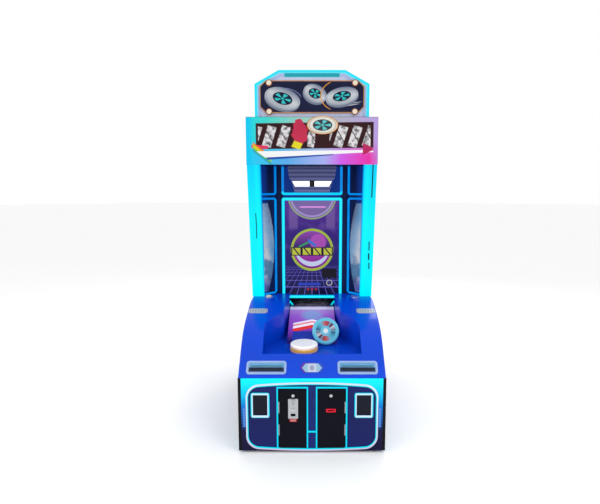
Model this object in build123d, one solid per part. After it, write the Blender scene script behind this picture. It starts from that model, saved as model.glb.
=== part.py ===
from build123d import *
import math
import os

# Disc-sliding redemption cabinet. Millimetres, +Z up, front towards -Y.
# Origin: on the floor, in the middle of the overall box.

# Overall sizes
WIDTH = 870.0
DEPTH = 1450.0
HEIGHT = 2330.0
PROUD = 16.0              # how far door furniture stands out, front and rear
BOARD = 18.0              # cabinet board thickness
SHEET = 3.0               # steel sheet thickness
SHELL_WALL = 6.0          # moulded console wall
CLEAR = 0.3               # gap between pieces that move past each other
RUNNING = 0.05            # radial clearance of a shaft in its hole

# Heights
SKIRT_Z = 15.0            # lower edge of the panels
FLOOR_Z = 78.0            # underside of the floor board
PANEL_TOP = 463.0         # top of the front panel, lower edge of the console
CONSOLE_TOP = 783.0       # console at the foot of the tower
HEADER_Z = HEIGHT - 608.0  # underside of the header box
HEADER_HEIGHT = 305.0

# Depths behind the front panel
LIP_DEPTH = 110.0         # sloped console front
LIP_RISE = 109.0
ARM_KNEE = (220.0, 666.0)
ARM_MID = (535.0, 763.0)
ARM_FLAT = 700.0          # the console top is level behind here
CONSOLE_DEPTH = 840.0
COLUMN_FOOT = 746.0
COLUMN_HEAD = 552.0
COLUMN_DEPTH = 75.0
COLUMN_WIDTH = 88.0
COLUMN_WALL = 4.0
HEADER_FACE = 537.0
SCREEN_DEPTH = CONSOLE_DEPTH + 9.0
HEADER_DEPTH = SCREEN_DEPTH + BOARD - HEADER_FACE

# Disc well, lane and slot
WELL_HALF = WIDTH / 2 - 135.0
WELL_STRAIGHT = 300.0
WELL_NECK = (190.0, 470.0)
WELL_FLOOR = 560.0
LANE_HALF = 160.0
LANE_START = 330.0
LANE_STEP = 30.0
LANE_TOP_DEPTH = CONSOLE_DEPTH - 80.0
LANE_TOP_Z = 696.0
LANE_END = 1230.0
LANE_BOARD = 12.0
SLOT_TOP = LANE_TOP_Z + 52.0
SLOT_FLARE = 41.0
SLOT_BAR = 12.0
CATCHER = 30.0
CATCHER_RISE = 82.0

# Discs
DISC_RADIUS = 86.0
DISC_THICK = 47.0
DISC_BAND = 14.0
DISC_EDGE = 3.0           # rounding of the lower rim
DISC_ROUND = 10.0         # rounding of the upper rim
BAND_DEEP = 4.0           # how far the bumper band is let in
BAND_PROUD = 1.0
BAND_SHARE = 0.4          # height of the band's middle, as a share of the disc
FLAT_DISC_X = -50.0
FLAT_DISC_DEPTH = 215.0
LEAN_DISC_X = 88.0
LEAN_ANGLE = 20.0

# Screen: a 32 inch panel on end
SCREEN_W = 398.0
SCREEN_H = 708.0
SCREEN_Z = SLOT_TOP + 22.0
SCREEN_BEZEL = 14.0
SCREEN_THICK = 45.0
SURROUND_HALF = SCREEN_W / 2 + 50.0
LIGHT_W = 24.0            # edge-lit frame width
LIGHT_T = 8.5
LIGHT_ROUND = 18.0

# Wings beside the screen, and the lamp pod in the bay above it
WING_DEPTH = 95.0         # how far the wing comes forward by the light column
WING_FRAME_W = WIDTH / 2 - BOARD - SURROUND_HALF + 16.0
WING_FRAME_BAR = 14.0
WING_FRAME_T = 7.0
WING_ROUND = 22.0
MIRROR_T = 4.0
MIRROR_CORNER = 70.0      # mirror edge from the screen board, at its ends
MIRROR_BOW = 30.0         # and at its middle
POD_DEPTH = 75.0
POD_HEIGHT = 186.0
POD_STEPS = (154.0, 126.0, 98.0)   # heights of the three hood steps above the pod's foot
POD_STEP = 14.0
LENS_HALF = (18.0, 142.0)
LENS_FLARE = 20.0
LENS_Z = (44.0, 82.0)     # above the pod's foot

# Doors
DOOR_W = 156.0
DOOR_H = 368.0
DOOR_X = 111.0
DOOR_Z = 34.0
DOOR_LAP = 5.0
DOOR_PROUD = 6.0          # door face in front of the panel
HINGE_R = 4.0
HINGE_PIN_R = 2.0
HINGE_SIDE = 6.0          # pin axis outside the door's edge
LOCK_R = 9.0
LOCK_Z = DOOR_Z + DOOR_H - 41.0
CAM_LENGTH = 42.0
KEYWAY = 2.0
COIN_PLATE = (58.0, 122.0)
COIN_PLATE_Z = DOOR_Z + 246.0
COIN_SLOT = (3.0, 26.0)
COIN_SLOT_Z = COIN_PLATE_Z + 38.0
RETURN_Z = COIN_PLATE_Z - 4.0
RETURN_R = 9.0
CUP_W = 28.0              # coin return cup
CUP_Z = (COIN_PLATE_Z - 46.0, COIN_PLATE_Z - 30.0)
SLIT_Z = DOOR_Z + 236.0   # ticket slit
SLIT_H = 8.0
MOUTH = (58.0, 20.0)
REAR_DOOR_W = 520.0
REAR_DOOR_H = 900.0
REAR_DOOR_Z = 180.0
REAR_LAP = 15.0
REAR_LOCK_X = REAR_DOOR_W / 2 - 40.0
REAR_LOCK_Z = REAR_DOOR_Z + REAR_DOOR_H - 380.0
LOUVRE = (260.0, 9.0)
LOUVRE_PITCH = 26.0
KNUCKLES = 5

# Front panel: windows and light trim
WINDOW_X = WIDTH / 2 - 130.0
WINDOW_Z = 299.0
WINDOW_W = 84.0
WINDOW_H = 126.0
WINDOW_LIGHT = 13.0       # the light frame outside the window's edge
OUTLINE_HALF = WIDTH / 2 - 46.0
OUTLINE_LOW = (32.0, 16.0)                            # at the corners, at the middle
OUTLINE_HIGH = (PANEL_TOP - 44.0, PANEL_TOP - 24.0)
OUTLINE_CORNER = 80.0
OUTLINE_BAR = 13.0
LIGHT_PROUD = 6.0
DOOR_BAR = 8.0
DOOR_GAP = 2.0
STRIP_Z = 131.0

# Console furniture
SPEAKER_X = WIDTH / 2 - 165.0
SPEAKER_W = 237.0
SPEAKER_L = 84.0
SPEAKER_ALONG = 66.0      # up the sloped front
SPEAKER_RIM = 12.5
SLITS = 5
SLIT_PITCH = 7.0
EMBLEM = (71.0, 50.0, 30.0)   # half width, half flat, half height
START_X = WIDTH / 2 - 121.0
START_DEPTH = 728.0
START_R = 18.0
BEZEL_R = 30.0
BEZEL_WALL = 3.7

# Header and topper
HEADER_WALL = 12.0
FACE_T = 8.0
TOPPER_HALF = WIDTH / 2 - 58.0
TOPPER_TOP_HALF = TOPPER_HALF - 158.0
TOPPER_SIDE_Z = HEIGHT - 87.0
TOPPER_FRONT = HEADER_FACE + 30.0
TOPPER_DEPTH = 90.0
TOPPER_WALL = 12.0
TOPPER_PANEL_HALF = TOPPER_HALF - 35.0
TOPPER_PANEL_Z = (HEIGHT - 274.0, HEIGHT - 68.0)
TOPPER_PANEL_CUT = 38.0
TOPPER_PANEL_GAP = 8.0
TOPPER_STUD_X = TOPPER_PANEL_HALF - 61.0
TOPPER_STUD_Z = (HEIGHT - 266.0, HEIGHT - 84.0)
TOPPER_STUD_R = (22.0, 11.0, 5.0)    # cap, collar, screw
TOPPER_SLOT = (354.0, 18.0)

# Inside and behind
TUBE = 30.0               # square frame tube
BAY = 30.0                # clear depth behind the front panel
CASH_BOX = (130.0, 160.0, 100.0)
DISPENSER = (90.0, 110.0, 60.0)
TICKET_STACK = (72.0, 96.0, 90.0)
MECH = (52.0, 48.0, 120.0)
COMPUTER = (300.0, 280.0, 130.0)
POWER_UNIT = (120.0, 150.0, 100.0)
FAN_Z = REAR_DOOR_Z + REAR_DOOR_H + 240.0
FAN_SIZE = 120.0
FAN_DEPTH = 25.0
FAN_BORE = 57.0
FAN_HUB = 19.0
FAN_PIN = 2.0
FAN_BLADES = 7
INLET = (-290.0, 150.0)
INLET_SIZE = (48.0, 28.0)
SOCKET = (24.0, 17.0)
SOCKET_DEEP = 15.0

# Undercarriage
FOOT_R = 25.0
STUD_R = 6.0
WHEEL_R = 30.0
WHEEL_T = 22.0
AXLE_R = 5.0
FOOT_INSET_X = 70.0
FOOT_INSET_Y = 90.0
WHEEL_INSET_X = 150.0
WHEEL_INSET_Y = 90.0
PAD_THICK = 12.0
AXLE_Z = WHEEL_R + 4.0

HALF = WIDTH / 2
FRONT = -DEPTH / 2 + PROUD
BACK = DEPTH / 2 - PROUD
HEADER_TOP = HEADER_Z + HEADER_HEIGHT
INSIDE = HALF - BOARD
SCREEN_Y = FRONT + SCREEN_DEPTH
FLOOR_TOP = FLOOR_Z + BOARD
DOOR_FACE = (FRONT - DOOR_PROUD, FRONT - SHEET)
HINGE_Y = FRONT - 5.0
REAR_HINGE_X = -REAR_DOOR_W / 2 - HINGE_SIDE
REAR_HINGE_Y = BACK + 5.0
BIG = 4000.0


def block(x, y, z):
    """A box between pairs of limits on each axis."""
    size = Box(x[1] - x[0], y[1] - y[0], z[1] - z[0])
    return Pos((x[0] + x[1]) / 2, (y[0] + y[1]) / 2, (z[0] + z[1]) / 2) * size


def side_slab(face, x):
    """A sketch in the YZ plane made into a slab between two x limits."""
    return Pos(x[0], 0, 0) * extrude(face, amount=x[1] - x[0], dir=(1, 0, 0))


def side_polygon(points):
    return make_face(Plane.YZ * Polyline(points, close=True))


def front_slab(sketch, y):
    """A sketch drawn in X and Z, as a slab between two y limits."""
    return extrude(Plane.XZ.offset(-y[1]) * sketch, amount=y[1] - y[0], dir=(0, -1, 0))


def front_rounded(centre, size, radius, y):
    sketch = Pos(centre[0], centre[1]) * RectangleRounded(size[0], size[1], radius)
    return front_slab(sketch, y)


def front_disc(centre, radius, y):
    return front_slab(Pos(centre[0], centre[1]) * Circle(radius), y)


def front_ring(centre, size, radius, width, y):
    """A rounded rectangular frame of one bar width."""
    outer = front_rounded(centre, size, radius, y)
    inner_size = (size[0] - 2 * width, size[1] - 2 * width)
    inner = front_rounded(centre, inner_size, max(radius - width, 1.0), y)
    return outer - inner


def upright(x, y, radius, z):
    return Pos(x, y, (z[0] + z[1]) / 2) * Cylinder(radius, z[1] - z[0])


def cross_rod(x, y, z, radius):
    """A rod along X between two x limits."""
    rod = Rot(0, 90, 0) * Cylinder(radius, x[1] - x[0])
    return Pos((x[0] + x[1]) / 2, y, z) * rod


def mirrored(shape):
    return mirror(shape, about=Plane.YZ)


def both_sides(shape):
    return Compound(children=[shape, mirrored(shape)])


def save(name, shape):
    export_step(shape, "parts/" + name + ".step")


def solids_of(shapes):
    """Keeps pieces that share a node apart as separate solids."""
    found = []
    for shape in shapes:
        found.extend(shape.solids())
    return Compound(children=found)


# ---- Undercarriage ---------------------------------------------------------------

def base_floor():
    floor = block((-INSIDE, INSIDE), (FRONT + BOARD, BACK - BOARD), (FLOOR_Z, FLOOR_TOP))
    for x, y in foot_places():
        floor -= upright(x, y, STUD_R + RUNNING, (FLOOR_Z - 1, FLOOR_TOP + 1))
    return floor


def foot_places():
    x = HALF - FOOT_INSET_X
    return [
        (-x, FRONT + FOOT_INSET_Y),
        (x, FRONT + FOOT_INSET_Y),
        (-x, BACK - FOOT_INSET_Y),
        (x, BACK - FOOT_INSET_Y),
    ]


def levelling_foot(x, y):
    pad = Cone(FOOT_R, FOOT_R * 0.6, PAD_THICK)
    foot = Pos(x, y, PAD_THICK / 2) * pad
    foot += upright(x, y, STUD_R, (PAD_THICK, FLOOR_TOP + 40.0))
    nut_z = (FLOOR_Z - 10.0, FLOOR_Z - CLEAR)
    return foot + upright(x, y, STUD_R * 1.8, nut_z)


def wheel_bracket(x, y):
    """A channel bracket with its axle, screwed under the floor board."""
    half = WHEEL_T / 2 + 2.0
    bracket = block((x - half - SHEET, x + half + SHEET), (y - 25, y + 25), (FLOOR_Z - SHEET, FLOOR_Z))
    for side in (-1, 1):
        inner = x + side * half
        outer = x + side * (half + SHEET)
        bracket += block(sorted((inner, outer)), (y - 16, y + 16), (AXLE_Z - 12, FLOOR_Z - SHEET))
    reach = half + 2 * SHEET
    return bracket + cross_rod((x - reach, x + reach), y, AXLE_Z, AXLE_R)


def wheel(x, y):
    body = cross_rod((x - WHEEL_T / 2, x + WHEEL_T / 2), y, AXLE_Z, WHEEL_R)
    body = fillet(body.edges().filter_by(GeomType.CIRCLE), 4.0)
    return body - cross_rod((x - WHEEL_T, x + WHEEL_T), y, AXLE_Z, AXLE_R + RUNNING)


# ---- Base ------------------------------------------------------------------------

def base_frame():
    """Square tubes welded end to end: six posts, side rails, cross rails and two lane bearers."""
    inner = INSIDE - TUBE
    y_front = FRONT + 60.0
    y_mid = FRONT + CONSOLE_DEPTH - 60.0
    y_back = BACK - BOARD
    bearers = (FRONT + CONSOLE_DEPTH + TUBE, FRONT + LANE_END - TUBE)
    high = PANEL_TOP - 10.0
    rail_z = (high - TUBE, high)
    tubes = []
    for x in ((-INSIDE, -inner), (inner, INSIDE)):
        tubes.append(block(x, (y_front, y_back), rail_z))
        for y in (y_front, y_mid, y_back - TUBE):
            tubes.append(block(x, (y, y + TUBE), (FLOOR_TOP, rail_z[0])))
    for y in (y_front, y_mid, y_back - TUBE) + bearers:
        tubes.append(block((-inner, inner), (y, y + TUBE), rail_z))
    for y in bearers:
        tubes.append(block((-LANE_HALF, LANE_HALF), (y, y + TUBE), (high, LANE_TOP_Z - LANE_BOARD)))
    return solids_of(tubes)


def side_panel():
    """One cut board from the floor to the header, its front edge behind the light column."""
    foot_y = FRONT + COLUMN_FOOT + COLUMN_DEPTH
    head_y = FRONT + COLUMN_HEAD + COLUMN_DEPTH
    header_y = FRONT + HEADER_FACE + HEADER_DEPTH
    points = [
        (FRONT + SHEET * 2, SKIRT_Z),
        (FRONT + SHEET * 2, PANEL_TOP),
        (FRONT + CONSOLE_DEPTH, PANEL_TOP),
        (FRONT + CONSOLE_DEPTH, CONSOLE_TOP),
        (foot_y, CONSOLE_TOP),
        (head_y, HEADER_Z),
        (header_y, HEADER_Z),
        (header_y, HEADER_TOP),
        (BACK - BOARD, HEADER_TOP),
        (BACK - BOARD, SKIRT_Z),
    ]
    return side_slab(side_polygon(points), (-HALF, -INSIDE))


def door_opening(x):
    width = DOOR_W - 2 * DOOR_LAP
    height = DOOR_H - 2 * DOOR_LAP
    centre = (x, DOOR_Z + DOOR_H / 2)
    return front_rounded(centre, (width, height), 2.0, (FRONT - 1, FRONT + BOARD + 1))


def front_panel():
    panel = block((-INSIDE, INSIDE), (FRONT, FRONT + BOARD), (SKIRT_Z, PANEL_TOP))
    for x in (-DOOR_X, DOOR_X):
        panel -= door_opening(x)
    for x in (-WINDOW_X, WINDOW_X):
        panel -= front_rounded((x, WINDOW_Z), (WINDOW_W, WINDOW_H), 6.0, (FRONT - 1, FRONT + BOARD + 1))
    return panel


def corner_trims():
    """Angle trims over the front corners of the side boards."""
    trim = block((-HALF, -INSIDE + 4), (FRONT, FRONT + SHEET * 2), (SKIRT_Z, PANEL_TOP))
    trim -= block((-INSIDE, HALF), (FRONT - 1, FRONT + BOARD), (0, BIG))
    return both_sides(trim)


def outline_sketch(inset):
    """A rounded panel outline with a gentle bow along its top and bottom."""
    half = OUTLINE_HALF - inset
    low = OUTLINE_LOW[0] + inset
    low_mid = OUTLINE_LOW[1] + inset
    high = OUTLINE_HIGH[0] - inset
    high_mid = OUTLINE_HIGH[1] - inset
    edges = [
        ThreePointArc((-half, high), (0, high_mid), (half, high)),
        Line((half, high), (half, low)),
        ThreePointArc((half, low), (0, low_mid), (-half, low)),
        Line((-half, low), (-half, high)),
    ]
    face = make_face(Curve() + edges)
    return fillet(face.vertices(), OUTLINE_CORNER - inset)


def outline_light():
    outer = front_slab(outline_sketch(0.0), (FRONT - LIGHT_PROUD, FRONT))
    inner = front_slab(outline_sketch(OUTLINE_BAR), (FRONT - LIGHT_PROUD - 1, FRONT + 1))
    return outer - inner


def door_edge_light(side):
    """Three light bars round a door, with room for the hinge knuckles."""
    y = (FRONT - LIGHT_PROUD, FRONT)
    low = DOOR_Z
    top = DOOR_Z + DOOR_H + DOOR_GAP
    outer = DOOR_X + DOOR_W / 2 + HINGE_SIDE + HINGE_R + 1.0
    inner = DOOR_X - DOOR_W / 2 - DOOR_GAP
    outer_x = sorted((side * outer, side * (outer + DOOR_BAR)))
    inner_x = sorted((side * inner, side * (inner - DOOR_BAR)))
    light = block(outer_x, y, (low, top + DOOR_BAR))
    light += block(inner_x, y, (low, top + DOOR_BAR))
    across = sorted((side * outer, side * inner))
    return light + block(across, y, (top, top + DOOR_BAR))


def panel_lights():
    pieces = []
    size = (WINDOW_W + 2 * WINDOW_LIGHT, WINDOW_H + 2 * WINDOW_LIGHT)
    for x in (-WINDOW_X, WINDOW_X):
        y = (FRONT - LIGHT_PROUD, FRONT)
        pieces.append(front_ring((x, WINDOW_Z), size, WINDOW_LIGHT, WINDOW_LIGHT - 1.0, y))
    for side in (-1, 1):
        pieces.append(door_edge_light(side))
    strip_half = DOOR_X - DOOR_W / 2 - DOOR_GAP - DOOR_BAR
    strip_z = (STRIP_Z, STRIP_Z + DOOR_BAR)
    pieces.append(block((-strip_half, strip_half), (FRONT - LIGHT_PROUD, FRONT), strip_z))
    return solids_of(pieces)


def window_panes():
    """Dark acrylic let into the window openings."""
    pane = front_rounded((-WINDOW_X, WINDOW_Z), (WINDOW_W, WINDOW_H), 6.0, (FRONT + 4, FRONT + 9))
    return both_sides(pane)


# ---- Doors: each hangs on the edge away from the middle ---------------------------

def hinge_x(side):
    return side * (DOOR_X + DOOR_W / 2 + HINGE_SIDE)


def knuckle_spans(door_z, height):
    """Height limits of the knuckles along a door's edge, short of its corners."""
    low = door_z + 10.0
    step = (height - 20.0) / KNUCKLES
    return [(low + i * step + CLEAR, low + (i + 1) * step - CLEAR) for i in range(KNUCKLES)]


def door_leaf(side):
    x_centre = side * DOOR_X
    centre = (x_centre, DOOR_Z + DOOR_H / 2)
    leaf = front_rounded(centre, (DOOR_W, DOOR_H), 3.0, DOOR_FACE)
    edge = side * (DOOR_X + DOOR_W / 2)
    spans = knuckle_spans(DOOR_Z, DOOR_H)
    for span in spans[0::2]:
        knuckle = upright(hinge_x(side), HINGE_Y, HINGE_R, span)
        knuckle += block(sorted((edge - side, hinge_x(side))), DOOR_FACE, span)
        leaf += knuckle
        leaf -= upright(hinge_x(side), HINGE_Y, HINGE_PIN_R + RUNNING, span)
    return leaf


def hinge_half(side):
    """The fixed hinge knuckles, their leaf on the panel and the pin through them."""
    spans = knuckle_spans(DOOR_Z, DOOR_H)
    pin = upright(hinge_x(side), HINGE_Y, HINGE_PIN_R, (spans[0][0], spans[-1][1]))
    for span in spans[1::2]:
        pin += upright(hinge_x(side), HINGE_Y, HINGE_R, span)
        x = sorted((hinge_x(side) - 3.0, hinge_x(side) + 3.0))
        pin += block(x, (HINGE_Y, FRONT), span)
    return pin


def rear_hinge():
    spans = knuckle_spans(REAR_DOOR_Z, REAR_DOOR_H)
    x = REAR_HINGE_X
    pin = upright(x, REAR_HINGE_Y, HINGE_PIN_R, (spans[0][0], spans[-1][1]))
    for span in spans[1::2]:
        pin += upright(x, REAR_HINGE_Y, HINGE_R, span)
        pin += block((x - 3.0, x + 3.0), (BACK, REAR_HINGE_Y), span)
    return pin


def rear_door():
    centre = (0, REAR_DOOR_Z + REAR_DOOR_H / 2)
    face = (BACK + SHEET, BACK + DOOR_PROUD)
    leaf = front_rounded(centre, (REAR_DOOR_W, REAR_DOOR_H), 3.0, face)
    spans = knuckle_spans(REAR_DOOR_Z, REAR_DOOR_H)
    for span in spans[0::2]:
        leaf += upright(REAR_HINGE_X, REAR_HINGE_Y, HINGE_R, span)
        leaf += block((REAR_HINGE_X, -REAR_DOOR_W / 2 + 1), face, span)
        leaf -= upright(REAR_HINGE_X, REAR_HINGE_Y, HINGE_PIN_R + RUNNING, span)
    leaf -= front_disc((REAR_LOCK_X, REAR_LOCK_Z), LOCK_R + RUNNING, (BACK, BACK + PROUD))
    for row in range(2, 10):
        z = REAR_DOOR_Z + REAR_DOOR_H - (row + 0.5) * LOUVRE_PITCH
        leaf -= front_rounded((0, z), LOUVRE, 4.0, (BACK, BACK + PROUD))
    return leaf


def rear_door_lock():
    x = REAR_LOCK_X
    z = REAR_LOCK_Z
    cam_y = BACK - BOARD - CLEAR
    lock = front_disc((x, z), LOCK_R, (cam_y, BACK + PROUD))
    lock += block((x - 6, x + 6), (cam_y - SHEET, cam_y), (z - CAM_LENGTH, z + 6))
    keyway = (x - KEYWAY / 2, x + KEYWAY / 2)
    return lock - block(keyway, (BACK + PROUD - 5, BACK + PROUD + 1), (z - 6, z + 6))


def coin_door():
    leaf = door_leaf(-1)
    leaf -= front_disc((-DOOR_X, LOCK_Z), LOCK_R + RUNNING, (FRONT - 8, FRONT))
    leaf -= front_disc((-DOOR_X, RETURN_Z), RETURN_R + CLEAR, (FRONT - 8, FRONT))
    slot_z = (COIN_SLOT_Z - COIN_SLOT[1] / 2 - 7.0, COIN_SLOT_Z + COIN_SLOT[1] / 2 + 5.0)
    slot = block((-DOOR_X - 6, -DOOR_X + 6), (FRONT - 8, FRONT), slot_z)
    reach = CUP_W / 2 + 2.0
    tray_z = (CUP_Z[0] - 2.0, CUP_Z[1] + 2.0)
    return leaf - slot - block((-DOOR_X - reach, -DOOR_X + reach), (FRONT - 8, FRONT), tray_z)


def ticket_door():
    leaf = door_leaf(1)
    leaf -= front_disc((DOOR_X, LOCK_Z), LOCK_R + RUNNING, (FRONT - 8, FRONT))
    slit = (SLIT_Z - SLIT_H / 2 - 1, SLIT_Z + SLIT_H / 2 + 1)
    return leaf - block((DOOR_X - 22, DOOR_X + 22), (FRONT - 8, FRONT), slit)


def door_lock(x):
    """Lock barrel with its cam inside the door, drawn unlocked."""
    cam_y = FRONT + BOARD + CLEAR
    lock = front_disc((x, LOCK_Z), LOCK_R, (FRONT - 2 * DOOR_PROUD, cam_y))
    inward = -1 if x > 0 else 1
    cam_x = sorted((x - inward * 6.0, x + inward * CAM_LENGTH))
    lock += block(cam_x, (cam_y, cam_y + SHEET), (LOCK_Z - 6, LOCK_Z + 6))
    keyway = (x - KEYWAY / 2, x + KEYWAY / 2)
    return lock - block(keyway, (FRONT - 13, FRONT - 7), (LOCK_Z - 6, LOCK_Z + 6))


def coin_plate():
    """Face plate with a raised coin slot and the return cup."""
    x = -DOOR_X
    through = (FRONT - PROUD - 1, FRONT)
    slot_z = (COIN_SLOT_Z - COIN_SLOT[1] / 2, COIN_SLOT_Z + COIN_SLOT[1] / 2)
    plate_y = (DOOR_FACE[0] - SHEET, DOOR_FACE[0])
    plate = front_rounded((x, COIN_PLATE_Z), COIN_PLATE, 4.0, plate_y)
    plate += block((x - 12, x + 12), (FRONT - PROUD, plate_y[0]), (slot_z[0] - 5, slot_z[1] + 5))
    plate -= block((x - COIN_SLOT[0] / 2, x + COIN_SLOT[0] / 2), through, slot_z)
    plate -= block((x - CUP_W / 2, x + CUP_W / 2), through, CUP_Z)
    return plate - front_disc((x, RETURN_Z), RETURN_R + CLEAR, through)


def coin_mech():
    """Coin mechanism behind the slot, with the chute that feeds it."""
    x = -DOOR_X
    back = FRONT + BOARD + 4.0
    body_z = (COIN_SLOT_Z + 17.0 - MECH[2], COIN_SLOT_Z + 17.0)
    chute_z = (COIN_SLOT_Z - 18.0, body_z[1] - 1.0)
    body = block((x - MECH[0] / 2, x + MECH[0] / 2), (back, back + MECH[1]), body_z)
    chute = block((x - 5, x + 5), (DOOR_FACE[0], back), chute_z)
    chute -= block((x - 2, x + 2), (DOOR_FACE[0] - 1, back + 1), (chute_z[0] + 4, chute_z[1] - 3))
    return body + chute


def coin_return_button():
    return front_disc((-DOOR_X, RETURN_Z), RETURN_R, (FRONT - 14.0, FRONT - 4.0))


def ticket_mouth():
    x = DOOR_X
    mouth = front_rounded((x, SLIT_Z), MOUTH, 6.0, (FRONT - 2 * DOOR_PROUD, DOOR_FACE[0]))
    slit = (SLIT_Z - SLIT_H / 2, SLIT_Z + SLIT_H / 2)
    return mouth - block((x - 20, x + 20), (FRONT - 13, FRONT), slit)


def cash_box():
    x = -DOOR_X
    half = CASH_BOX[0] / 2
    y = (FRONT + BAY, FRONT + BAY + CASH_BOX[1])
    top = FLOOR_TOP + CASH_BOX[2]
    bin_body = block((x - half, x + half), y, (FLOOR_TOP, top))
    hollow_x = (x - half + SHEET, x + half - SHEET)
    hollow_y = (y[0] + SHEET, y[1] - SHEET)
    return bin_body - block(hollow_x, hollow_y, (FLOOR_TOP + SHEET, top + 1))


def ticket_dispenser():
    """Ticket feeder on two legs, with the folded ticket stack between them."""
    x = DOOR_X
    half = DISPENSER[0] / 2
    y = (FRONT + BAY, FRONT + BAY + DISPENSER[1])
    low = SLIT_Z - DISPENSER[2] / 2
    unit = block((x - half, x + half), y, (low, low + DISPENSER[2]))
    unit += block((x - half, x - half + SHEET), y, (FLOOR_TOP, low))
    unit += block((x + half - SHEET, x + half), y, (FLOOR_TOP, low))
    stack_x = (x - TICKET_STACK[0] / 2, x + TICKET_STACK[0] / 2)
    stack_y = (y[0] + 4.0, y[0] + 4.0 + TICKET_STACK[1])
    return unit + block(stack_x, stack_y, (FLOOR_TOP, FLOOR_TOP + TICKET_STACK[2]))


# ---- Console ---------------------------------------------------------------------

def console_profile(wall):
    """Side outline of the console, moved in by the wall."""
    nose = (FRONT + wall, PANEL_TOP)
    lip = (FRONT + LIP_DEPTH + wall, PANEL_TOP + LIP_RISE)
    knee = (FRONT + ARM_KNEE[0] + wall, ARM_KNEE[1] - wall * 0.6)
    middle = (FRONT + ARM_MID[0], ARM_MID[1] - wall)
    flat = (FRONT + ARM_FLAT, CONSOLE_TOP - wall)
    end = (FRONT + CONSOLE_DEPTH - wall, CONSOLE_TOP - wall)
    base = (end[0], PANEL_TOP)
    edges = [
        Line(nose, lip),
        Spline(lip, knee, middle, flat, tangents=[(1, 1), (1, 0)]),
        Line(flat, end),
        Line(end, base),
        Line(base, nose),
    ]
    return make_face(Plane.YZ * (Curve() + edges))


def well_sketch(grow):
    """Plan of the disc well: wide in front, necking down to the lane."""
    wide = WELL_HALF + grow
    neck = WELL_NECK[0] + grow
    lane = LANE_HALF + 5.0 + grow
    front = FRONT + LIP_DEPTH - grow
    back = FRONT + CONSOLE_DEPTH + 20.0
    bend = FRONT + WELL_STRAIGHT
    neck_y = FRONT + WELL_NECK[1]
    lane_y = FRONT + ARM_FLAT
    right = [(wide, front), (wide, bend), (neck, neck_y), (lane, lane_y), (lane, back)]
    left = [(-x, y) for x, y in reversed(right)]
    face = make_face(Polyline(right + left, close=True))
    rounded = face.vertices().filter_by(lambda v: abs(v.Y - bend) < 1 or abs(v.Y - neck_y) < 1)
    return fillet(rounded, 50.0 + grow)


def front_slope(x, along):
    """Frame on the sloped console front: local X across, local Z out of the face."""
    length = math.hypot(LIP_DEPTH, LIP_RISE)
    part = along / length
    y = FRONT + LIP_DEPTH * part
    z = PANEL_TOP + LIP_RISE * part
    return Plane(origin=(x, y, z), x_dir=(1, 0, 0), z_dir=(0, -LIP_RISE, LIP_DEPTH))


def slope_slab(sketch, x, along, out):
    """A sketch on the sloped front, between two heights above the face."""
    place = front_slope(x, along)
    return extrude(place.offset(out[0]) * sketch, amount=out[1] - out[0], dir=place.z_dir)


def console_shell():
    outer = side_slab(console_profile(0.0), (-HALF, HALF))
    top = [e for e in outer.edges() if abs(abs(e.center().X) - HALF) < 1 and e.center().Z > PANEL_TOP + 30]
    top = [e for e in top if e.center().Y < FRONT + CONSOLE_DEPTH - 1]
    outer = fillet(top, 14.0)
    inner = side_slab(console_profile(SHELL_WALL), (-HALF + SHELL_WALL, HALF - SHELL_WALL))
    inner -= block((-HALF, HALF), (FRONT - 1, FRONT + 4), (0, BIG))
    shell = outer - Pos(0, 0, -1) * inner
    tub = extrude(Plane.XY.offset(WELL_FLOOR - SHELL_WALL) * well_sketch(SHELL_WALL), amount=400, dir=(0, 0, 1))
    shell += tub & outer
    shell -= extrude(Plane.XY.offset(WELL_FLOOR) * well_sketch(0.0), amount=400, dir=(0, 0, 1))
    for x in (-SPEAKER_X, SPEAKER_X):
        hole = RectangleRounded(SPEAKER_W - 24, SPEAKER_L - 24, 10)
        shell -= slope_slab(hole, x, SPEAKER_ALONG, (-20, 10))
    for x in (-START_X, START_X):
        hole_z = (CONSOLE_TOP - 20, CONSOLE_TOP + 20)
        shell -= upright(x, FRONT + START_DEPTH, START_R + 4.0, hole_z)
    return shell


def speaker_grilles():
    frame = RectangleRounded(SPEAKER_W, SPEAKER_L, 18)
    pane = RectangleRounded(SPEAKER_W - 2 * SPEAKER_RIM, SPEAKER_L - 2 * SPEAKER_RIM, 9)
    slits = Sketch()
    for row in range(SLITS):
        across = (row - (SLITS - 1) / 2) * SLIT_PITCH
        slits += Pos(0, across) * RectangleRounded(SPEAKER_W - 4 * SPEAKER_RIM, 3, 1.4)
    x = SPEAKER_X
    rim = slope_slab(frame, x, SPEAKER_ALONG, (0, 5)) - slope_slab(pane, x, SPEAKER_ALONG, (2, 6))
    rim -= slope_slab(slits, x, SPEAKER_ALONG, (-1, 3))
    return both_sides(rim)


def speaker_drivers():
    """Oval drivers screwed behind the grilles."""
    x = SPEAKER_X
    flange = slope_slab(RectangleRounded(150, 55, 8), x, SPEAKER_ALONG, (-4, 0))
    cone = slope_slab(Circle(26), x, SPEAKER_ALONG, (-24, -4))
    magnet = slope_slab(Circle(20), x, SPEAKER_ALONG, (-40, -24))
    return both_sides(flange + cone + magnet)


def emblem_plate():
    """Plain six-sided badge."""
    half, flat, high = EMBLEM
    points = [(-half, 0), (-flat, high), (flat, high), (half, 0), (flat, -high), (-flat, -high)]
    face = make_face(Polyline(points, close=True))
    return slope_slab(face, 0, SPEAKER_ALONG, (0, SHEET * 2))


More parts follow.
